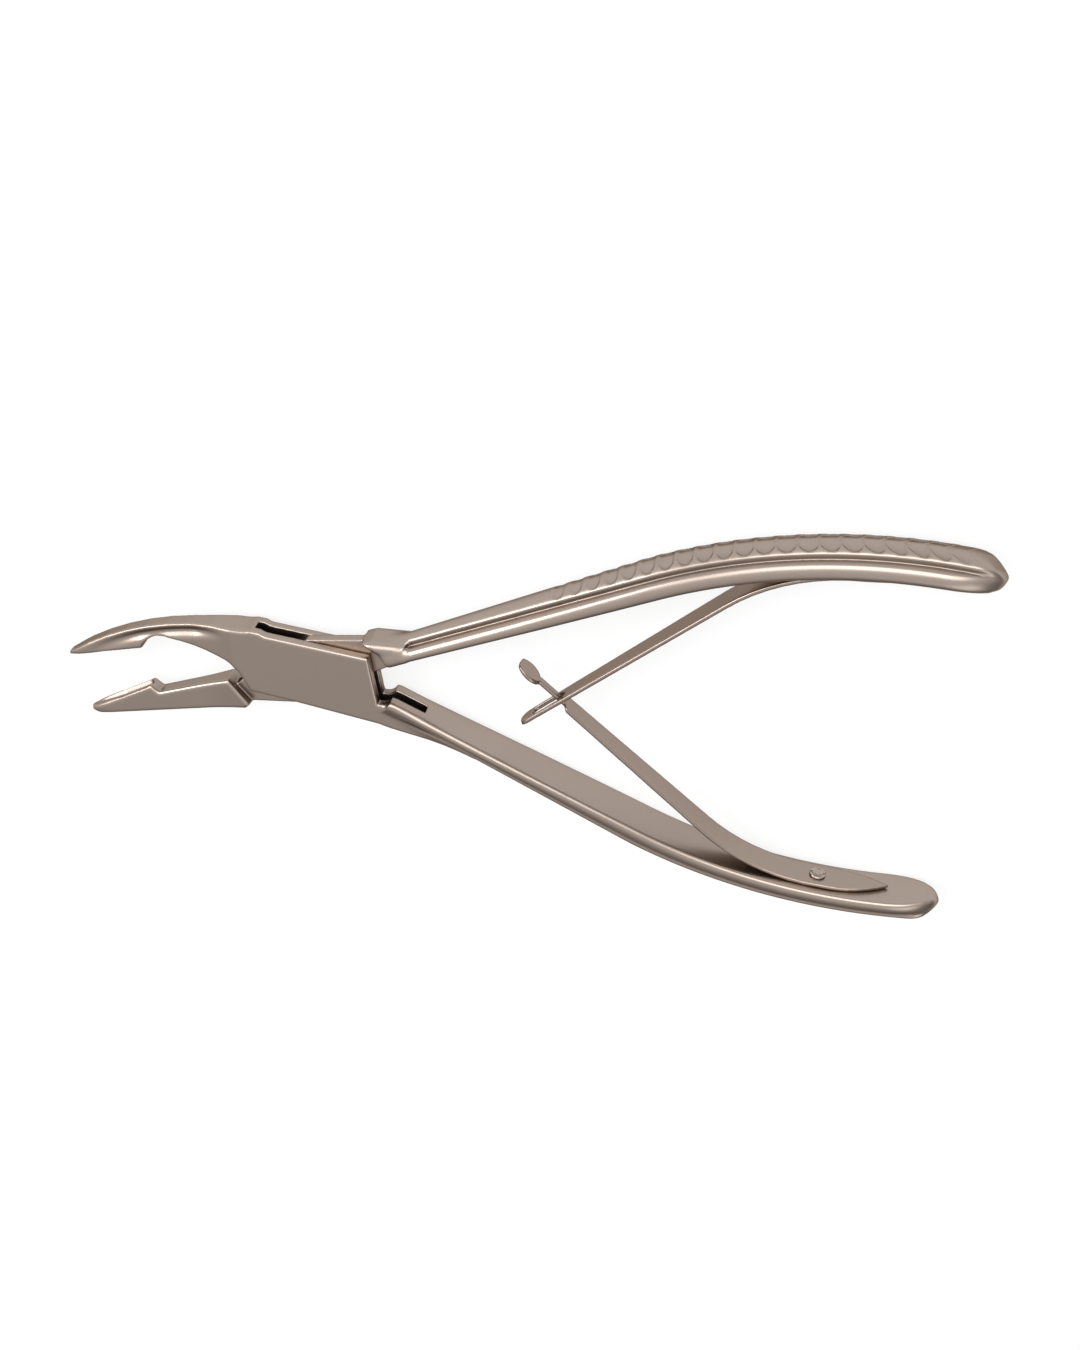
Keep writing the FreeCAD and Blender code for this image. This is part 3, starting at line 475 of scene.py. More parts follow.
@dataclass(frozen=True)
class HandleForm:
    """One handle, drawn as the upper one along its straight inner face.

    Attributes:
        splay: Angle of the inner face to the middle line of the tool, in degrees.
        inner_level: Level of the inner face below the pivot, across the handle.
        root: Where the handle begins, along it.
        straight: Where its straight part ends and its bend begins.
        inner_radius: Radius of the bend at the inner face.
        bend_angle: Angle of the bend in degrees.
        root_depth: Depth from inner face to crest at the root.
        depth: Depth from inner face to crest along the bend.
        flange_share: Share of the depth that the wide flange takes.
        root_half: Half of the flange's width at the root.
        half: Half of the flange's width along the bend.
        flange_sweep: By how much the flange swells past that width on each side.
        crest_inset: By how much the crest is narrower than the flange on each side.
        crest_dome: Radius of the crest's dome, as a share of half its width.
        crest_undercut: How steeply the crest's sides draw in above the flange.
        groove: Softness of the groove between crest and flange.
        inner_edge: Softness of the edges of the inner face.
        bulge: Softness of the flange's outer edges, as a share of its height.
        tip_length: How far the tip lies past the bend.
        tip_level: Level of the tip above the inner face.
        fall_share: Share of the bend after which the crest falls towards the tip.
        taper: Length over which the end narrows.
        grip_first: Place of the first finger scallop along the crest.
        grip_pitch: Distance between scallops.
        grip_count: Number of scallops.
        grip_depth: Depth of a scallop in the middle of the handle.
        grip_width: Width of the first scallop, as a share of the pitch.
        grip_lands: Number of scallops over which the flat lands between them run out.
        grip_start: Depth of the first scallop, as a share of the full depth.
        grip_growth: Growth of that share from one scallop to the next.
        grip_wall: How steeply a scallop's wall rises from its floor.
        grip_middle: Depth of a scallop in the middle plane, as a share of that at its foot.
        grip_lean: How far the last scallops lean, along the handle per width.
        grip_lean_from: Place along the crest from which they lean.
        grip_lean_run: Length over which they come to lean in full.
        grip_foot: Where the foot of a scallop begins, as a share of half the crest's width.
        grip_foot_run: Length of that foot, in the same share.
        end_softness: Softness of the end, seen from the side and from above.
        end_power: Power of the oval of the end.
    """

    splay: float = 24.75
    inner_level: float = -2.6
    root: float = 14.0
    straight: float = 60.0
    inner_radius: float = 85.0
    bend_angle: float = 32.6
    root_depth: float = 3.5
    depth: float = 5.0
    flange_share: float = 0.58
    root_half: float = 2.85
    half: float = 4.15
    flange_sweep: float = 0.12
    crest_inset: float = 1.45
    crest_dome: float = 1.35
    crest_undercut: float = 0.25
    groove: float = 0.15
    inner_edge: float = 1.0
    bulge: float = 0.8
    tip_length: float = 1.95
    tip_level: float = 2.1
    fall_share: float = 0.84
    taper: float = 9.5
    grip_first: float = 45.5
    grip_pitch: float = 2.95
    grip_count: int = 22
    grip_depth: float = 0.55
    grip_width: float = 0.72
    grip_lands: int = 12
    grip_start: float = 0.6
    grip_growth: float = 0.05
    grip_wall: float = 1.9
    grip_middle: float = 0.3
    grip_lean: float = 0.8
    grip_lean_from: float = 78.0
    grip_lean_run: float = 22.0
    grip_foot: float = 0.4
    grip_foot_run: float = 0.44
    end_softness: Point = (0.7, 0.9)
    end_power: float = 0.65

    @property
    def crest_radius(self) -> float:
        """Radius of the bend along the crest."""
        return self.inner_radius + self.depth

    def on_bend(self, degrees: float, level: float) -> Point:
        """The point of the bend at an angle and a level above the inner face, unturned.

        Args:
            degrees: Angle round the bend from its beginning.
            level: Level above the inner face.

        Returns:
            The point in the frame of the handle.
        """
        angle, radius = math.radians(degrees), self.inner_radius + level
        drop = radius * (1 - math.cos(angle))
        return (self.straight + radius * math.sin(angle), self.inner_level + level - drop)

    def tip(self) -> Point:
        """Finds the tip of the handle.

        Returns:
            The tip in the frame of the tool.
        """
        reach, rise = self.on_bend(self.bend_angle, self.tip_level)
        angle = math.radians(self.bend_angle)
        spot = (reach + self.tip_length * math.cos(angle), rise - self.tip_length * math.sin(angle))
        return turned(spot, self.splay)

    def along(self, x: np.ndarray, y: np.ndarray) -> Tuple[np.ndarray, np.ndarray]:
        """Measures sample points along the handle.

        Args:
            x: Reach of the sample points along the tool.
            y: Their level over the pivot, on the side of the handle.

        Returns:
            Their place along the crest and their level above the inner face.
        """
        angle = math.radians(self.splay)
        reach = x * math.cos(angle) + y * math.sin(angle)
        rise = y * math.cos(angle) - x * math.sin(angle) - self.inner_level
        past, high = reach - self.straight, rise + self.inner_radius
        bent = past > 0
        place = np.where(bent, self.straight + self.crest_radius * np.arctan2(past, high), reach)
        level = np.where(bent, np.hypot(past, high) - self.inner_radius, rise)
        return place, level

    def shape(self, lattice: Lattice, side: int) -> np.ndarray:
        """The handle as signed distances.

        Args:
            lattice: Sample points.
            side: +1 for the upper handle, -1 for the lower one.

        Returns:
            Signed distances at the sample points.
        """
        place, level = self.along(lattice.x, lattice.y * side)
        grown = np.clip((place - self.root) / (self.straight - self.root), 0, 1)
        half = self.root_half + (self.half - self.root_half) * grown
        depth = self.root_depth + (self.depth - self.root_depth) * grown
        width = np.abs(lattice.w)
        flange_top = depth * self.flange_share
        flange = overlap(width - half - self.flange_sweep, level - flange_top,
                         self.bulge * flange_top)
        flange = overlap(flange, -level, self.inner_edge)
        crest_half = half - self.crest_inset
        crest = self._crest(width, crest_half, level, depth)
        crest = crest + self._scallops(place, width, crest_half)
        bar = join(flange, crest, self.groove)
        bar = np.maximum(bar, self.root - place)
        bar = overlap(bar, self._end_side(place, level), self.end_softness[0])
        bar = overlap(bar, self._end_plan(lattice.x, lattice.w), self.end_softness[1])
        return np.maximum(bar, -self._screw_hole(place, level, lattice.w))

    def _crest(self, width: np.ndarray, half: np.ndarray, level: np.ndarray,
               depth: np.ndarray) -> np.ndarray:
        """The domed crest, whose sides draw in again above the flange.

        Args:
            width: Distance from the middle plane.
            half: Half of the crest's width.
            level: Level above the inner face.
            depth: Level of the top of the crest.

        Returns:
            Signed distances at the sample points.
        """
        radius = half * self.crest_dome
        dome = np.hypot(width, level - depth + radius) - radius
        corner = depth - radius + np.sqrt(radius ** 2 - half ** 2)
        side = width - half + self.crest_undercut * np.maximum(corner - level, 0)
        foot = 0.4
        return np.maximum(overlap(dome, side, self.groove), foot - level)

    def _scallops(self, place: np.ndarray, width: np.ndarray, half: np.ndarray) -> np.ndarray:
        """How deep the finger scallops are pressed into the flanks of the crest.

        Each is a scoop with a round foot. At first flat lands part them; further on they meet
        in ridges, which lean towards the end of the handle.

        Args:
            place: Place along the crest.
            width: Distance from the middle plane.
            half: Half of the crest's width.

        Returns:
            The depth of the scoops at the sample points.
        """
        lean = self.grip_lean * np.clip((place - self.grip_lean_from) / self.grip_lean_run, 0, 1)
        spot = (place - lean * width - self.grip_first) / self.grip_pitch
        number = np.clip(np.round(spot), 0, self.grip_count - 1)
        spread = self.grip_width + (1 - self.grip_width) * np.clip(number / self.grip_lands, 0, 1)
        across = (spot - number) * 2 / spread
        share = width / half
        foot = np.clip((share - self.grip_foot) / self.grip_foot_run, 0, None)
        fade = np.clip((self.grip_count + 1 - number) / 4, 0, 1)
        growth = np.clip(self.grip_start + number * self.grip_growth, 0, 1) * fade
        scoop = np.clip(self.grip_wall * (1 - across ** 2 - foot ** 2), 0, 1)
        scoop = scoop * (2 - scoop)
        side = self.grip_middle + (1 - self.grip_middle) * np.clip(share, 0, 1)
        return self.grip_depth * growth * side * scoop

    def _end_side(self, place: np.ndarray, level: np.ndarray) -> np.ndarray:
        """The end of the handle seen from the side: a small toe, and a crest that falls.

        Args:
            place: Place along the crest.
            level: Level above the inner face.

        Returns:
            Signed distances at the sample points.
        """
        bend = self.crest_radius * math.radians(self.bend_angle)
        toe = (self.straight + bend, 0.0)
        tip = (toe[0] + self.tip_length, self.tip_level)
        fall = (self.straight + bend * self.fall_share, self.depth)
        margin = self.depth * 2
        corners = [(-margin, -margin), (toe[0], -margin), toe, tip, fall,
                   (fall[0], margin), (-margin, margin)]
        return outline_distance(place, level, outline(corners, {
            2: (distance(toe, tip) * 0.8, 1), 3: (distance(tip, fall) * 1.3, 1)}))

    def _end_plan(self, x: np.ndarray, w: np.ndarray) -> np.ndarray:
        """The end of the handle seen from above: a long oval.

        Args:
            x: Reach of the sample points along the tool.
            w: Their height over the middle plane.

        Returns:
            Signed distances at the sample points.
        """
        tip = self.tip()[0]
        past = np.clip((x - tip + self.taper) / self.taper, 0, 1)
        left = np.maximum(1 - past ** 2, 0.02)
        power = self.end_power
        slope = self.half / self.taper * 2 * power * past * left ** (power - 1)
        oval = (np.abs(w) - self.half * left ** power) / np.sqrt(1 + slope ** 2)
        return np.maximum(oval, x - tip)

    def _screw_hole(self, place: np.ndarray, level: np.ndarray, w: np.ndarray) -> np.ndarray:
        """The tapped hole of the spring screw.

        Args:
            place: Place along the crest.
            level: Level above the inner face.
            w: Height over the middle plane.

        Returns:
            Signed distances at the sample points.
        """
        centre = self.straight + self.crest_radius * math.radians(ScrewForm.angle)
        return np.maximum(np.hypot(place - centre, w) - ScrewForm.shank / 2,
                          level - ScrewForm.hole_depth)


@dataclass(frozen=True)
class ScrewForm:
    """The spring screw: its place round the bend in degrees, its shank and its tapped hole."""

    angle: float = 20.4
    shank: float = 1.6
    hole_depth: float = 2.65


@dataclass(frozen=True)
class BoxForm:
    """The box lock.

    Attributes:
        thickness: Thickness over both cheeks.
        slot: Width of the slot between the cheeks.
        tongue: Width of the tongue that runs in it.
        rise: Height of the top edge above the pivot.
        slope: Fall of the top edge in degrees.
        closing: Angle by which the lock half turns until the jaws meet.
        pin: Diameter of the pivot pin.
        pin_play: Play of the tongue round the pin.
        edge: Width of the eased edges.
    """

    thickness: float = 4.8
    slot: float = 1.75
    tongue: float = 1.65
    rise: float = 5.6
    slope: float = 6.2
    closing: float = 14.5
    pin: float = 3.0
    pin_play: float = 0.03
    edge: float = 0.55

    def top(self, reach: float) -> Point:
        """The point of the top edge at a reach."""
        return (reach, self.rise - reach * math.tan(math.radians(self.slope)))


@dataclass(frozen=True)
class JawForm:
    """Both jaws, drawn closed on the line from bite_rear to bite_tip.

    Attributes:
        bite_rear: Rear end of the bite.
        bite_tip: Front end of the bite.
        throat: Where the upper jaw leaves the box, below.
        back_radius: Radius of the upper jaw's back.
        back_end: Where that back ends over the tip.
        hollow_depth: Depth of the hollow along the side of the upper jaw.
        hollow_under: How far under the back the hollow is deepest.
        hollow_half: Half of its width.
        root_width: Width of the jaws at the box.
        neck_width: Width at the neck, past which they hardly narrow.
        cup_width: Width round the cup.
        neck_reach: Reach of the neck from the pivot.
        nose_reach: Reach at which the round nose begins.
        tip_reach: Reach at which it closes.
        bore: Diameter of the cup.
        cup: Length of the cup.
        cup_edge: Softness of its rim.
        edge: Width of the eased edges.
    """

    bite_rear: Point = (-28.7, 0.0)
    bite_tip: Point = (-42.5, -3.75)
    throat: Point = (-12.4, -0.5)
    back_radius: float = 48.0
    back_end: Point = (-41.5, -2.55)
    hollow_depth: float = 0.6
    hollow_under: float = 1.4
    hollow_half: float = 0.8
    root_width: float = 4.8
    neck_width: float = 3.1
    cup_width: float = 3.0
    neck_reach: float = 20.5
    nose_reach: float = 38.5
    tip_reach: float = 43.1
    bore: float = 2.1
    cup: float = 12.8
    cup_edge: float = 0.12
    edge: float = 0.7

    def upper_side(self, lattice: Lattice, box: BoxForm) -> np.ndarray:
        """The upper jaw seen from the front.

        Args:
            lattice: Sample points.
            box: Sizes of the box lock.

        Returns:
            Signed distances at the sample points.
        """
        corners = [self._back_start(box), self.back_end, self.bite_tip, self.bite_rear,
                   (-24.2, 2.8), self.throat, (self.throat[0] + 4, self.throat[1])]
        return outline_distance(lattice.x, lattice.y, outline(corners, {
            0: (self.back_radius, 1), 1: (1.65, 1), 3: (4.2, -1), 4: (34.0, -1)}))

    def _back_start(self, box: BoxForm) -> Point:
        """Where the back of the upper jaw leaves the top of the box."""
        return box.top(-self.back_radius * math.sin(math.radians(box.slope)) * 1.5)

    def hollow(self, lattice: Lattice, box: BoxForm) -> np.ndarray:
        """Depth of the hollow that is ground along the side of the upper jaw, under its back.

        Args:
            lattice: Sample points.
            box: Sizes of the box lock.

        Returns:
            The depth at the sample points.
        """
        start, end = self._back_start(box), self.back_end
        chord = distance(start, end)
        drop = math.sqrt(self.back_radius ** 2 - chord ** 2 / 4)
        centre = ((start[0] + end[0]) / 2 - (end[1] - start[1]) / chord * drop,
                  (start[1] + end[1]) / 2 + (end[0] - start[0]) / chord * drop)
        below = self.back_radius - np.hypot(lattice.x - centre[0], lattice.y - centre[1])
        ends = np.clip((-lattice.x - 14) / 5, 0, 1) * np.clip((38 + lattice.x) / 9, 0, 1)
        off = (below - self.hollow_under) / self.hollow_half
        return self.hollow_depth * ends * np.exp(-off ** 2)

    def lower(self, lattice: Lattice, box: BoxForm) -> np.ndarray:
        """The lower jaw with its cup, in the open position.

        Args:
            lattice: Sample points.
            box: Sizes of the box lock.

        Returns:
            Signed distances at the sample points.
        """
        rear = (self.bite_rear[0] - 0.7, self.bite_rear[1] - 0.25)
        tip = (self.bite_tip[0], self.bite_tip[1] - 0.06)
        corners = [(-14.6, -0.25), (-28.3, -1.75), rear, tip, (-42.8, -4.5), (-40.4, -5.2),
                   (-13.4, -6.0), (-12.3, -5.3)]
        side = outline_distance(lattice.x, lattice.y, outline(corners, {4: (3.3, 1)}, box.closing))
        angle = math.radians(box.closing)
        along = lattice.x * math.cos(angle) + lattice.y * math.sin(angle)
        across = lattice.y * math.cos(angle) - lattice.x * math.sin(angle)
        jaw = overlap(side, self.flank(-along, lattice.w), self.edge)
        return self.cupped(jaw, along, across, lattice.w)

    def flank(self, reach: np.ndarray, w: np.ndarray) -> np.ndarray:
        """Distance to the jaw's sides, which sweep in from the box and close in a round nose.

        Args:
            reach: Reach of the sample points from the pivot along the closed jaws.
            w: Their height over the middle plane.

        Returns:
            The distances, negative between the sides.
        """
        root, nose = -self.throat[0], self.nose_reach
        sweep = np.clip((self.neck_reach - reach) / (self.neck_reach - root), 0, 1)
        half = self.neck_width / 2 + (self.root_width - self.neck_width) / 2 * sweep ** 1.6
        thin = np.clip((reach - self.neck_reach) / (nose - self.neck_reach), 0, 1)
        half = half - (self.neck_width - self.cup_width + 0.3) / 2 * thin
        past = np.clip((reach - nose) / (self.tip_reach - nose), 0, 1)
        closing = np.sqrt(np.maximum(1 - past ** 2, 0.02))
        slope = half / (self.tip_reach - nose) * past / closing
        return (np.abs(w) - half * closing) / np.sqrt(1 + slope ** 2)

    def cupped(self, jaw: np.ndarray, x: np.ndarray, y: np.ndarray, w: np.ndarray) -> np.ndarray:
        """The jaw with the cup ground into its bite; x and y are those of the closed jaws."""
        return overlap(jaw, -self._cup(x, y, w), self.cup_edge)

    def _cup(self, x: np.ndarray, y: np.ndarray, w: np.ndarray) -> np.ndarray:
        """The hollow along the bite: round at the rear and tapering towards the tip.

        Args:
            x: Reach of the sample points in the frame of the closed jaws.
            y: Their level in that frame.
            w: Their height over the middle plane.

        Returns:
            Signed distances at the sample points.
        """
        run, rise = self.bite_tip[0] - self.bite_rear[0], self.bite_tip[1] - self.bite_rear[1]
        length = math.hypot(run, rise)
        middle = ((self.bite_tip[0] + self.bite_rear[0]) / 2,
                  (self.bite_tip[1] + self.bite_rear[1]) / 2)
        along = ((x - middle[0]) * run + (y - middle[1]) * rise) / length
        off = ((y - middle[1]) * run - (x - middle[0]) * rise) / length
        radius, fade = self.bore / 2, 6.0
        rear, front = -self.cup / 2 + radius, self.cup / 2 - fade
        taper = radius * (1 - 0.8 * np.clip((along - front) / fade, 0, 1))
        reach = np.clip(along, rear, self.cup / 2 - radius * 0.4)
        return np.sqrt((along - reach) ** 2 + off ** 2 + w ** 2) - taper


@dataclass(frozen=True)
class LeafForm:
    """A leaf spring, drawn in the frame of the upper handle.

    Attributes:
        thickness: Thickness of the strip.
        seat_play: Gap between the leaf's root and the handle.
        leave_angle: Where round the handle's bend the leaf leaves it, in degrees.
        root_angle: Where its root ends, in degrees.
        bend_radius: Radius of the leaf's own bend.
        slope: Slope of the arm to the middle line of the tool, in degrees.
        root_half: Half of the width at the root.
        bend_half: Half of the width at the start of the arm.
        arm_half: Half of the width at the crossing.
        root_length: Length of the pointed root.
    """

    thickness: float = 0.75
    seat_play: float = 0.03
    leave_angle: float = 18.95
    root_angle: float = 28.3
    bend_radius: float = 30.0
    slope: float = 42.0
    root_half: float = 2.5
    bend_half: float = 2.2
    arm_half: float = 1.6
    root_length: float = 10.0


class LeafTip(Enum):
    """How the free end of a leaf is shaped."""

    SLOTTED = "slotted"
    HEADED = "headed"


class LeafSpring:
    """One of the two crossed leaf springs."""

    STEP = 0.19
    ARM = {LeafTip.SLOTTED: 41.5, LeafTip.HEADED: 42.0}
    SLOT = (31.9, 38.7, 0.9)
    NECK_START = 31.9
    NECK_SHOULDER = 0.6
    NECK_HALF = 0.625
    HEAD_RADIUS = 1.8
    TIP_INSET = 0.2
    HOLE_PLAY = 0.1
    EDGE = 0.3

    def __init__(self, node: str, side: int, tip: LeafTip, bodies: Tuple[str, str]) -> None:
        """Describes one leaf.

        Args:
            node: CAD node that it replaces.
            side: +1 for the upper handle, -1 for the lower one.
            tip: Shape of its free end.
            bodies: Body of its handle and its own body; not used.
        """
        self.node = node
        self.side = side
        self.tip = tip
        self.bodies = bodies
        self.form = LeafForm()
        self.handle = HandleForm()

    def build(self) -> bpy.types.Object:
        """Builds the leaf, which takes the place of the CAD node.

        Returns:
            The new piece.
        """
        lowest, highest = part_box(self.node)
        lattice = Lattice(lowest, highest, self.STEP)
        y = lattice.y * self.side
        side = outline_distance(lattice.x, y, self._side_view())
        plan = outline_distance(lattice.x, lattice.w, self._plan_view())
        leaf = overlap(side, plan, self.EDGE)
        if self.tip is LeafTip.SLOTTED:
            leaf = np.maximum(leaf, -self._slot(lattice))
        leaf = np.maximum(leaf, -self._hole(lattice, y))
        piece = lattice.skin(f"{self.node}_leaf", leaf)
        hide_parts(self.node)
        start, end = (self._spot(share) for share in (0.0, 1.0))
        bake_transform(piece)
        return piece

    def _spot(self, share: float) -> Tuple[float, float, float]:
        """A point between the end of the seat and the start of the arm.

        Args:
            share: 0 at the seat, 1 at the arm.

        Returns:
            The point in metres.
        """
        seat = turned(self.handle.on_bend(self.form.leave_angle, 0), self.handle.splay)
        arm = turned(self._off_bend(self.form.bend_radius), self.handle.splay)
        x, y = (a + (b - a) * share for a, b in zip(seat, arm))
        return (x * MM, y * MM * self.side, BoxForm.thickness / 2 * MM)

    @property
    def _lean(self) -> float:
        """Angle of the arm to the handle's inner face, in radians."""
        return math.radians(self.form.slope - self.handle.splay)

    def _off_bend(self, radius: float) -> Point:
        """Finds where the bend runs out into the arm.

        Args:
            radius: Radius of the face of the leaf that is followed.

        Returns:
            The point in the frame of the handle.
        """
        form, angle = self.form, math.radians(self.form.leave_angle)
        x, y = self.handle.on_bend(form.leave_angle, -form.seat_play)
        centre = (x - form.bend_radius * math.sin(angle), y - form.bend_radius * math.cos(angle))
        return (centre[0] - radius * math.sin(self._lean), centre[1] + radius * math.cos(self._lean))

    def _along_arm(self, start: Point, length: float) -> Point:
        """The point at a length along the arm from a start on it."""
        return (start[0] - length * math.cos(self._lean), start[1] - length * math.sin(self._lean))

    def _reach(self, length: float) -> float:
        """Finds the reach of a place on the arm.

        Args:
            length: Length along the arm.

        Returns:
            The reach along X.
        """
        spot = self._along_arm(self._off_bend(self.form.bend_radius), length)
        return turned(spot, self.handle.splay)[0]

    def _side_view(self) -> List[Point]:
        """Draws the leaf seen from the front: seat, bend and straight arm.

        Returns:
            Its outline in the frame of the tool.
        """
        form, handle = self.form, self.handle
        seat, under = -form.seat_play, -form.seat_play - form.thickness
        outer = self._off_bend(form.bend_radius)
        inner = self._off_bend(form.bend_radius - form.thickness)
        arm = self.ARM[self.tip]
        corners = [handle.on_bend(form.root_angle, seat), handle.on_bend(form.leave_angle, seat),
                   outer, self._along_arm(outer, arm), self._along_arm(inner, arm), inner,
                   handle.on_bend(form.leave_angle, under), handle.on_bend(form.root_angle, under)]
        seat_radius = handle.inner_radius - form.seat_play
        return outline(corners, {
            0: (seat_radius, 1), 1: (form.bend_radius, 1),
            5: (form.bend_radius - form.thickness, -1), 6: (seat_radius - form.thickness, -1),
        }, handle.splay)

    def _plan_view(self) -> List[Point]:
        """Draws the leaf seen from above: pointed root, narrowing arm, and its tip.

        Returns:
            Its outline, with the reach along the tool and the height over the middle plane.
        """
        form, handle = self.form, self.handle
        end = turned(handle.on_bend(form.root_angle, 0), handle.splay)[0]
        leave = turned(handle.on_bend(form.leave_angle, 0), handle.splay)[0]
        tip = self._reach(self.ARM[self.tip])
        near = [(end - form.root_length, form.root_half), (leave, form.root_half),
                (self._reach(0), form.bend_half)]
        if self.tip is LeafTip.SLOTTED:
            tip_half = form.arm_half - self.TIP_INSET
            near += [(self._reach(self.SLOT[0]), form.arm_half), (tip + tip_half, tip_half)]
            radius = tip_half * 1.05
        else:
            radius = self.HEAD_RADIUS
            start = tip + radius + math.sqrt(radius ** 2 - self.NECK_HALF ** 2)
            near += [(self._reach(self.NECK_START - self.NECK_SHOULDER), form.arm_half),
                     (self._reach(self.NECK_START), self.NECK_HALF), (start, self.NECK_HALF)]
        far = [(x, -half) for x, half in reversed(near)]
        last = len(near)
        corners = near + [(tip, 0.0)] + far + [(end, 0.0)]
        point = (form.root_half / 2 + form.root_length ** 2 / (form.root_half * 2)) * 1.02
        return outline(corners, {
            last - 1: (radius, 1), last: (radius, 1),
            2 * last: (point, 1), 2 * last + 1: (point, 1)})

    def _slot(self, lattice: Lattice) -> np.ndarray:
        """The slot through which the other leaf's neck runs.

        Args:
            lattice: Sample points.

        Returns:
            Signed distances at the sample points.
        """
        start, end = self._reach(self.SLOT[0]), self._reach(self.SLOT[1])
        half = self.SLOT[2]
        reach = np.clip(lattice.x, end + half, start - half)
        return np.hypot(lattice.x - reach, lattice.w) - half

    def _hole(self, lattice: Lattice, y: np.ndarray) -> np.ndarray:
        """The plain hole for the spring screw.

        Args:
            lattice: Sample points.
            y: Their level over the pivot, on the side of the leaf.

        Returns:
            Signed distances at the sample points.
        """
        place, level = self.handle.along(lattice.x, y)
        bend = self.handle.crest_radius * math.radians(ScrewForm.angle)
        radius = ScrewForm.shank / 2 + self.HOLE_PLAY
        off = np.hypot(place - self.handle.straight - bend, lattice.w) - radius
        return np.maximum(off, np.abs(level) - 2)


class BoxHalf:
    """The half with the box lock, the upper jaw and the lower handle."""

    NODE = "box_half"
    STEP = 0.21
    TAIL = 30.0
    TAIL_THIN = 13.7
    TAIL_HALF = 1.0
    JAW_FILLET = 1.6
    HANDLE_FILLET = 1.1
    SLOT_EDGE = 0.1
    HEEL = (11.5, -8.5)

    def __init__(self) -> None:
        """Takes the sizes of the box, the jaws and the handles."""
        self.box = BoxForm()
        self.jaw = JawForm()
        self.handle = HandleForm()

    def build(self) -> bpy.types.Object:
        """Builds the half as one forged piece, which takes the place of the CAD node.

        Returns:
            The new piece.
        """
        lattice = Lattice(*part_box(self.NODE), self.STEP)
        side = join(self._side(lattice), self.jaw.upper_side(lattice, self.box), self.JAW_FILLET)
        body = overlap(side, self._flank(lattice), self.box.edge)
        body = self.jaw.cupped(body, lattice.x, lattice.y, lattice.w)
        body = join(body, self.handle.shape(lattice, -1), self.HANDLE_FILLET)
        body = overlap(body, -self._slot(lattice), self.SLOT_EDGE)
        pin = np.hypot(lattice.x, lattice.y) - self.box.pin / 2
        piece = lattice.skin(f"{self.NODE}_forging", np.maximum(body, -pin))
        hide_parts(self.NODE)
        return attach(piece, "box_body")

    def _under(self, reach: float, level: float) -> Point:
        """A place on the lower handle.

        Args:
            reach: Place along the handle.
            level: Level above its inner face.

        Returns:
            The point in the frame of the tool.
        """
        x, y = turned((reach, self.handle.inner_level + level), self.handle.splay)
        return (x, -y)

    def _side(self, lattice: Lattice) -> np.ndarray:
        """The box seen from the front, with a tail that runs into the crest of the handle.

        Args:
            lattice: Sample points.

        Returns:
            Signed distances at the sample points.
        """
        grown = (self.TAIL - self.handle.root) / (self.handle.straight - self.handle.root)
        crest = self.handle.root_depth + (self.handle.depth - self.handle.root_depth) * grown
        corners = [self.box.top(-9.0), (-12.6, 4.6), self.jaw.throat, (-10.1, -5.2),
                   (-2.6, -6.2), self.HEEL,
                   self._under(self.TAIL, crest - 0.7), self._under(self.TAIL, 0.7),
                   self._under(self.handle.root + 1, 0.35), (11.6, -4.4), self.box.top(10.4)]
        return outline_distance(lattice.x, lattice.y, outline(corners, {}))

    def _flank(self, lattice: Lattice) -> np.ndarray:
        """Distance to the flat cheeks, which sweep in along the jaw and thin along the tail.

        Args:
            lattice: Sample points.

        Returns:
            Signed distances at the sample points.
        """
        thin = np.clip((lattice.x - self.HEEL[0] - 2) / self.TAIL_THIN, 0, 1)
        half = self.box.thickness / 2 - (self.box.thickness / 2 - self.TAIL_HALF) * thin
        cheek = np.abs(lattice.w) - half
        jaw = self.jaw.flank(-lattice.x, lattice.w) + self.jaw.hollow(lattice, self.box)
        return np.where(lattice.x > 0, cheek, jaw)

    def _slot(self, lattice: Lattice) -> np.ndarray:
        """The slot between the cheeks, open above, below and towards the handle.

        Args:
            lattice: Sample points.

        Returns:
            Signed distances at the sample points.
        """
        far = 12.5
        corners = [(-8.6, far), (-8.6, 6.1), (-12.73, -1.6), (-16.7, -far), (-0.8, -far),
                   (-0.8, -6.4), (11.0, -6.9), (18.6, -8.3), (19.3, -4.5), (19.3, far)]
        side = outline_distance(lattice.x, lattice.y, outline(corners, {}))
        return np.maximum(side, np.abs(lattice.w) - self.box.slot / 2)


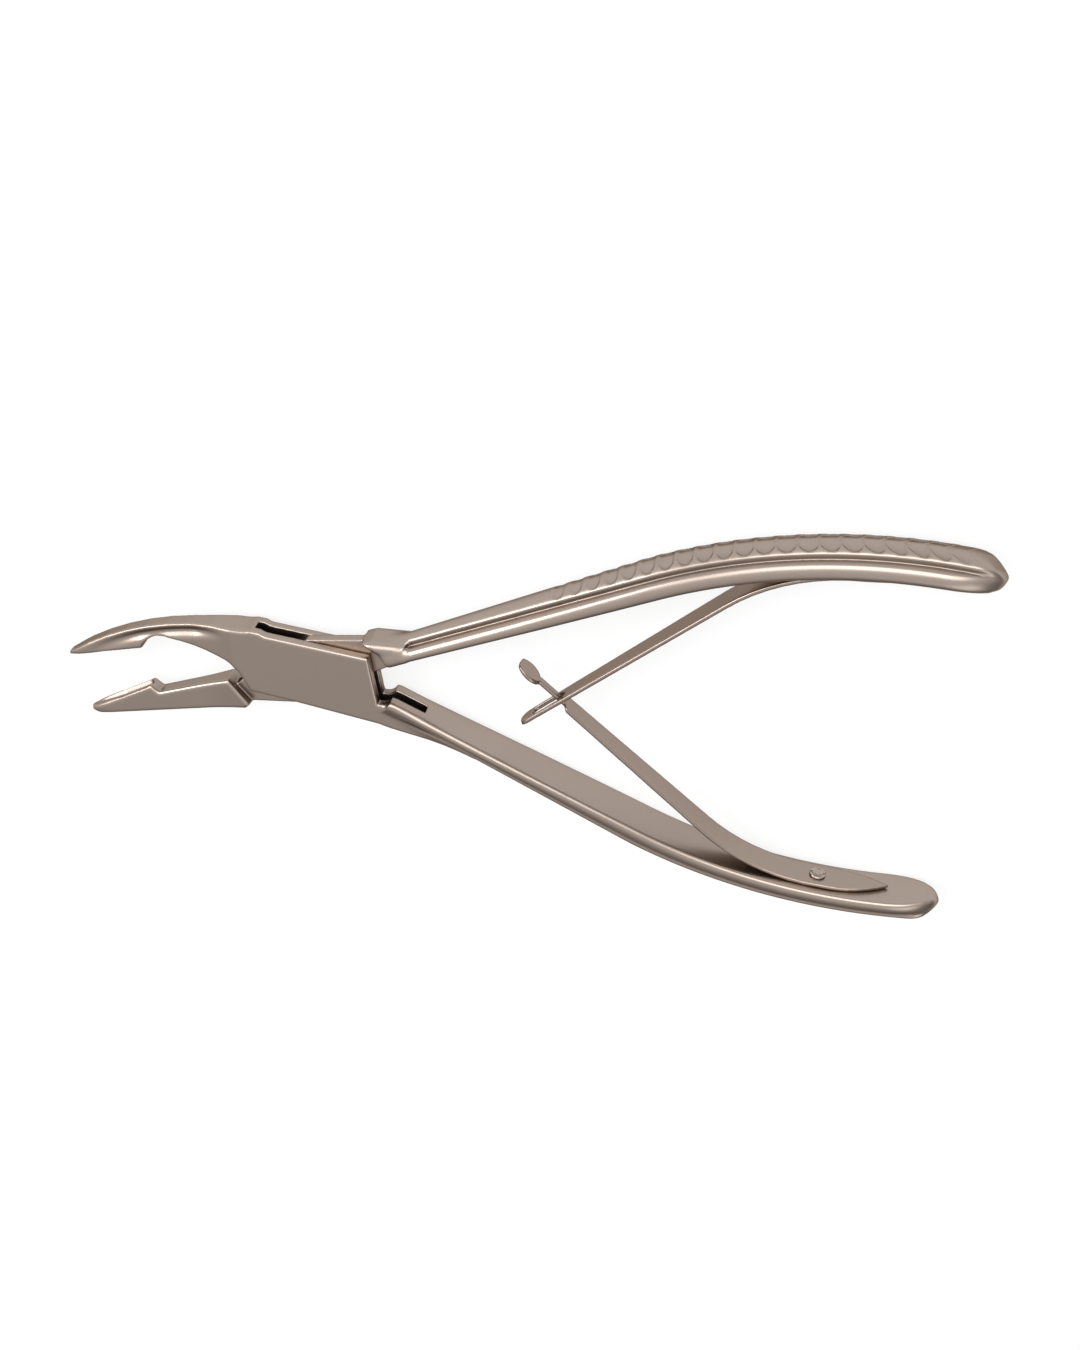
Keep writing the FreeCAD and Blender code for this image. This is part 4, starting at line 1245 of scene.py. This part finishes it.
class LockHalf:
    """The half with the tongue, the lower jaw and the upper handle."""

    NODE = "lock_half"
    STEP = 0.21
    HANDLE_FILLET = 0.9
    TONGUE_FILLET = 0.3
    TONGUE_EDGE = 0.15
    SHOULDER_EDGE = 1.4

    def __init__(self) -> None:
        """Takes the sizes of the box, the jaws and the handles."""
        self.box = BoxForm()
        self.jaw = JawForm()
        self.handle = HandleForm()

    def build(self) -> bpy.types.Object:
        """Builds the half as one forged piece, which takes the place of the CAD node.

        Returns:
            The new piece.
        """
        lattice = Lattice(*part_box(self.NODE), self.STEP)
        handle = self.handle.shape(lattice, 1)
        root = join(self._shoulder(lattice), handle, self.HANDLE_FILLET)
        body = join(root, self._tongue(lattice), self.TONGUE_FILLET)
        body = join(body, self.jaw.lower(lattice, self.box), self.TONGUE_FILLET)
        pin = np.hypot(lattice.x, lattice.y) - self.box.pin / 2 - self.box.pin_play
        piece = lattice.skin(f"{self.NODE}_forging", np.maximum(body, -pin))
        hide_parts(self.NODE)
        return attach(piece, "lock_body")

    def _tongue(self, lattice: Lattice) -> np.ndarray:
        """The flat tongue that runs in the slot of the box.

        Args:
            lattice: Sample points.

        Returns:
            Signed distances at the sample points.
        """
        closing = self.box.closing
        corners = [turned((-14.0, -1.7), closing), turned((-14.0, -5.3), closing),
                   turned((-12.3, -5.3), closing), (-3.0, -7.4), (14.9, 3.3), (14.6, 7.1),
                   (9.3, 7.0), self.box.top(-0.1), turned((-10.2, 0.2), closing)]
        side = outline_distance(lattice.x, lattice.y, outline(corners, {}))
        return overlap(side, np.abs(lattice.w) - self.box.tongue / 2, self.TONGUE_EDGE)

    def _shoulder(self, lattice: Lattice) -> np.ndarray:
        """The block over the box from which the upper handle starts.

        Args:
            lattice: Sample points.

        Returns:
            Signed distances at the sample points.
        """
        corners = [(9.3, 7.1), (14.2, 3.95), (16.6, 5.2), (16.6, 7.9), (10.9, 7.7)]
        side = outline_distance(lattice.x, lattice.y, outline(corners, {}))
        return overlap(side, np.abs(lattice.w) - self.handle.root_half, self.SHOULDER_EDGE)


class SpringScrew:
    """A slotted screw with a low round head that holds a leaf on its handle."""

    STEP = 0.07
    HEAD_RADIUS = 1.38
    HEAD_HEIGHT = 0.5
    LENGTH = 3.2
    DRIVE = (0.42, 0.28)
    DISH_RADIUS = 2.2
    HEAD_EDGE = 0.3
    DRIVE_EDGE = 0.05

    def __init__(self, node: str, side: int, body: str) -> None:
        """Describes one screw.

        Args:
            node: CAD node that it replaces.
            side: +1 for the upper handle, -1 for the lower one.
            body: Body of its handle.
        """
        self.node = node
        self.side = side
        self.body = body
        self.handle = HandleForm()
        self.leaf = LeafForm()

    def build(self) -> bpy.types.Object:
        """Builds the screw, which takes the place of the CAD node.

        Returns:
            The new piece.
        """
        lattice = Lattice(*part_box(self.node), self.STEP)
        turn = math.radians(self.handle.splay - ScrewForm.angle)
        seat = turned(self.handle.on_bend(ScrewForm.angle, 0), self.handle.splay)
        run, rise = lattice.x - seat[0], lattice.y * self.side - seat[1]
        along = run * math.cos(turn) + rise * math.sin(turn)
        up = rise * math.cos(turn) - run * math.sin(turn)
        under = -self.leaf.thickness - self.leaf.seat_play * 2
        radius = np.hypot(along, lattice.w)
        head = overlap(radius - self.HEAD_RADIUS,
                       np.maximum(under - self.HEAD_HEIGHT - up, up - under), self.HEAD_EDGE)
        shank = np.maximum(radius - ScrewForm.shank / 2,
                           np.maximum(under - up, up - under - self.LENGTH))
        width, depth = self.DRIVE
        top = up - under + self.HEAD_HEIGHT
        drive = np.maximum(np.abs(lattice.w) - width / 2, top - depth)
        dish = np.hypot(radius, top + self.DISH_RADIUS - depth)
        screw = overlap(np.minimum(head, shank), self.DISH_RADIUS - dish, self.DRIVE_EDGE)
        piece = lattice.skin(f"{self.node}_turned", overlap(screw, -drive, self.DRIVE_EDGE))
        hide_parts(self.node)
        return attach(piece, self.body)


class PivotPin:
    """The pin of the box lock, riveted and ground flush, so that it hardly shows."""

    NODE = "pivot_pin"
    SIDES = 96
    RIVET_RADIUS = 2.1
    RIVET_HEIGHT = 0.006

    def __init__(self) -> None:
        """Takes the sizes of the box."""
        self.box = BoxForm()

    def build(self) -> bpy.types.Object:
        """Turns the pin about its axis; it takes the place of the CAD node.

        Returns:
            The new piece.
        """
        bottom, top = 0.0, self.box.thickness
        shank = self.box.pin / 2
        profile = [(0.0, bottom - self.RIVET_HEIGHT), (self.RIVET_RADIUS, bottom - self.RIVET_HEIGHT),
                   (self.RIVET_RADIUS, bottom), (shank, bottom), (shank, top),
                   (self.RIVET_RADIUS, top), (self.RIVET_RADIUS, top + self.RIVET_HEIGHT),
                   (0.0, top + self.RIVET_HEIGHT)]
        piece = revolved(f"{self.NODE}_turned", profile, self.SIDES)
        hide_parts(self.NODE)
        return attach(piece, "box_body")


def revolved(name: str, profile: Sequence[Point], sides: int) -> bpy.types.Object:
    """Turns a profile about the Z axis.

    Args:
        name: Name of the new object.
        profile: Radius and height of each point from bottom to top, from radius 0 back to 0.
        sides: Number of faces round the axis.

    Returns:
        The object.
    """
    rings = profile[1:-1]
    corners = [(0.0, 0.0, profile[0][1] * MM), (0.0, 0.0, profile[-1][1] * MM)]
    for radius, height in rings:
        for i in range(sides):
            angle = 2 * math.pi * i / sides
            corners.append((radius * math.cos(angle) * MM, radius * math.sin(angle) * MM, height * MM))
    faces: List[Tuple[int, ...]] = []
    for i in range(sides):
        after = (i + 1) % sides
        last = 2 + (len(rings) - 1) * sides
        faces += [(0, 2 + after, 2 + i), (1, last + i, last + after)]
        for ring in range(len(rings) - 1):
            low, high = 2 + ring * sides, 2 + (ring + 1) * sides
            faces.append((low + i, low + after, high + after, high + i))
    mesh = bpy.data.meshes.new(name)
    mesh.from_pydata(corners, [], faces)
    piece = bpy.data.objects.new(name, mesh)
    bpy.context.scene.collection.objects.link(piece)
    log.info("%s: %d faces", name, len(mesh.polygons))
    return piece


# Studio

@dataclass(frozen=True)
class Lamp:
    """A soft area lamp.

    Attributes:
        name: Name of the lamp.
        place: Where it hangs, in metres.
        target: The point at which it looks, in metres.
        width: Side of its square face, in metres.
        power: Radiant power in watts.
    """

    name: str
    place: Tuple[float, float, float]
    target: Tuple[float, float, float]
    width: float
    power: float


class Studio:
    """White table top, soft lamps and the camera of the photograph."""

    FLOOR_REACH = 6.0
    CAMERA_PLACE = (77.05 * MM, 153.61 * MM, 200.35 * MM)
    CAMERA_RIGHT = (0.97967, 0.00822, -0.20044)
    CAMERA_UP = (-0.12584, 0.80331, -0.58212)
    CAMERA_BACK = (0.15623, 0.59551, 0.78801)
    LENS = 42.67
    BRIGHT_SIDE = (-0.25, 0.6, 0.7)
    DIM_BELOW = -0.9
    BRIGHT_ABOVE = 0.95
    DIM_ROOM = "2E231D"
    BRIGHT_ROOM = "FFFFFF"
    ROOM_LIGHT = 1.0
    FLOOR_GLOW = 0.8
    LAMPS = (
        Lamp("key_softbox", (0.05, 0.60, 0.85), (0.03, 0, 0), 0.8, 6.0),
        Lamp("side_softbox", (-0.70, 0.35, 0.55), (-0.05, 0.05, 0), 0.5, 4.5),
        Lamp("fill_softbox", (0.50, -0.55, 0.80), (0.03, 0, 0), 0.5, 1.0),
    )

    def build(self, lowest: float) -> None:
        """Builds the floor just under the tool, the lamps, the world and the camera.

        Args:
            lowest: Lowest height of the tool in metres.
        """
        self._floor(lowest)
        for lamp in self.LAMPS:
            self._lamp(lamp)
        self._world()
        self._camera()

    def _floor(self, lowest: float) -> None:
        """Lays a matt white table top that shows as an even glow to the eye and in reflections.

        Args:
            lowest: Height of the table top in metres.
        """
        reach = self.FLOOR_REACH
        mesh = bpy.data.meshes.new("table_top")
        corners = [(-reach, -reach, lowest), (reach, -reach, lowest),
                   (reach, reach, lowest), (-reach, reach, lowest)]
        mesh.from_pydata(corners, [], [(0, 1, 2, 3)])
        floor = bpy.data.objects.new("table_top", mesh)
        bpy.context.scene.collection.objects.link(floor)
        material = bpy.data.materials.new("white_table_matt_lacquer")
        material.use_nodes = True
        tree = material.node_tree
        tree.nodes.clear()
        matt = add_node(tree, "ShaderNodeBsdfDiffuse", Color=(0.88, 0.88, 0.88, 1))
        glow = add_node(tree, "ShaderNodeEmission", Color=(1, 1, 1, 1), Strength=1.0)
        path = add_node(tree, "ShaderNodeLightPath")
        clear = path.outputs["Is Transmission Ray"]
        for ray in ("Is Camera Ray", "Is Glossy Ray"):
            either = add_node(tree, "ShaderNodeMath")
            either.operation = "MAXIMUM"
            tree.links.new(path.outputs[ray], either.inputs[0])
            tree.links.new(clear, either.inputs[1])
            clear = either.outputs["Value"]
        seen = add_node(tree, "ShaderNodeMath")
        seen.operation = "MULTIPLY"
        tree.links.new(clear, seen.inputs[0])
        seen.inputs[1].default_value = self.FLOOR_GLOW
        mix = add_node(tree, "ShaderNodeMixShader", Fac=seen.outputs["Value"])
        tree.links.new(matt.outputs["BSDF"], mix.inputs[1])
        tree.links.new(glow.outputs["Emission"], mix.inputs[2])
        add_node(tree, "ShaderNodeOutputMaterial", Surface=mix.outputs["Shader"])
        mesh.materials.append(material)
        floor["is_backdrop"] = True
        log.info("table top at %.2f mm", lowest / MM)

    def _lamp(self, lamp: Lamp) -> None:
        """Hangs one lamp.

        Args:
            lamp: Its place, target, width and power.
        """
        light = bpy.data.lights.new(lamp.name, "AREA")
        light.shape = "SQUARE"
        light.size = lamp.width
        light.energy = lamp.power
        holder = bpy.data.objects.new(lamp.name, light)
        holder.location = lamp.place
        away = Vector(lamp.place) - Vector(lamp.target)
        holder.rotation_euler = away.to_track_quat("Z", "Y").to_euler()
        bpy.context.scene.collection.objects.link(holder)
        log.info("lamp %s", lamp.name)

    def _world(self) -> None:
        """A room that is bright behind the camera and dim and warm towards the tool's underside."""
        world = bpy.data.worlds.new("studio")
        world.use_nodes = True
        tree = world.node_tree
        tree.nodes.clear()
        way = add_node(tree, "ShaderNodeTexCoord")
        facing = add_node(tree, "ShaderNodeVectorMath")
        facing.operation = "DOT_PRODUCT"
        tree.links.new(way.outputs["Generated"], facing.inputs[0])
        facing.inputs[1].default_value = self.BRIGHT_SIDE
        share = add_node(tree, "ShaderNodeMapRange", Value=facing.outputs["Value"])
        share.inputs["From Min"].default_value = self.DIM_BELOW
        share.inputs["From Max"].default_value = self.BRIGHT_ABOVE
        share.interpolation_type = "SMOOTHSTEP"
        room = add_node(tree, "ShaderNodeMix")
        room.data_type = "RGBA"
        colours = [socket for socket in room.inputs if socket.type == "RGBA"]
        tree.links.new(share.outputs["Result"], room.inputs[0])
        colours[0].default_value = (*linear(self.DIM_ROOM), 1)
        colours[1].default_value = (*linear(self.BRIGHT_ROOM), 1)
        result = next(socket for socket in room.outputs if socket.type == "RGBA")
        lit = add_node(tree, "ShaderNodeBackground", Color=result, Strength=self.ROOM_LIGHT)
        plain = add_node(tree, "ShaderNodeBackground", Color=(1, 1, 1, 1), Strength=1.0)
        path = add_node(tree, "ShaderNodeLightPath")
        mix = add_node(tree, "ShaderNodeMixShader", Fac=path.outputs["Is Camera Ray"])
        tree.links.new(lit.outputs["Background"], mix.inputs[1])
        tree.links.new(plain.outputs["Background"], mix.inputs[2])
        add_node(tree, "ShaderNodeOutputWorld", Surface=mix.outputs["Shader"])
        bpy.context.scene.world = world

    def _camera(self) -> None:
        """Puts the camera where the photograph was taken."""
        camera = bpy.data.cameras.new("photograph")
        camera.lens = self.LENS
        camera.sensor_width = 36.0
        camera.clip_start = 0.01
        holder = bpy.data.objects.new("photograph", camera)
        axes = Matrix((self.CAMERA_RIGHT, self.CAMERA_UP, self.CAMERA_BACK)).transposed()
        holder.matrix_world = Matrix.Translation(self.CAMERA_PLACE) @ axes.to_4x4()
        bpy.context.scene.collection.objects.link(holder)
        bpy.context.scene.camera = holder


def main() -> None:
    """Dresses the tool and sets up the studio."""
    cad_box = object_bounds()
    forged, strip, turned_steel = SteelMaterial(FORGED), SteelMaterial(STRIP), SteelMaterial(TURNED)
    for forging in (BoxHalf(), LockHalf(), PivotPin()):
        forged.dress(forging.build())
    leaves = (
        LeafSpring("upper_spring", 1, LeafTip.SLOTTED, ("lock_body", "upper_leaf")),
        LeafSpring("lower_spring", -1, LeafTip.HEADED, ("box_body", "lower_leaf")),
    )
    for leaf in leaves:
        strip.dress(leaf.build())
    for screw in (SpringScrew("upper_spring_screw", 1, "lock_body"),
                  SpringScrew("lower_spring_screw", -1, "box_body")):
        turned_steel.dress(screw.build())
    Studio().build(cad_box[0][2])
    bpy.context.scene.view_settings.view_transform = "Standard"


if __name__ == "__main__":
    main()
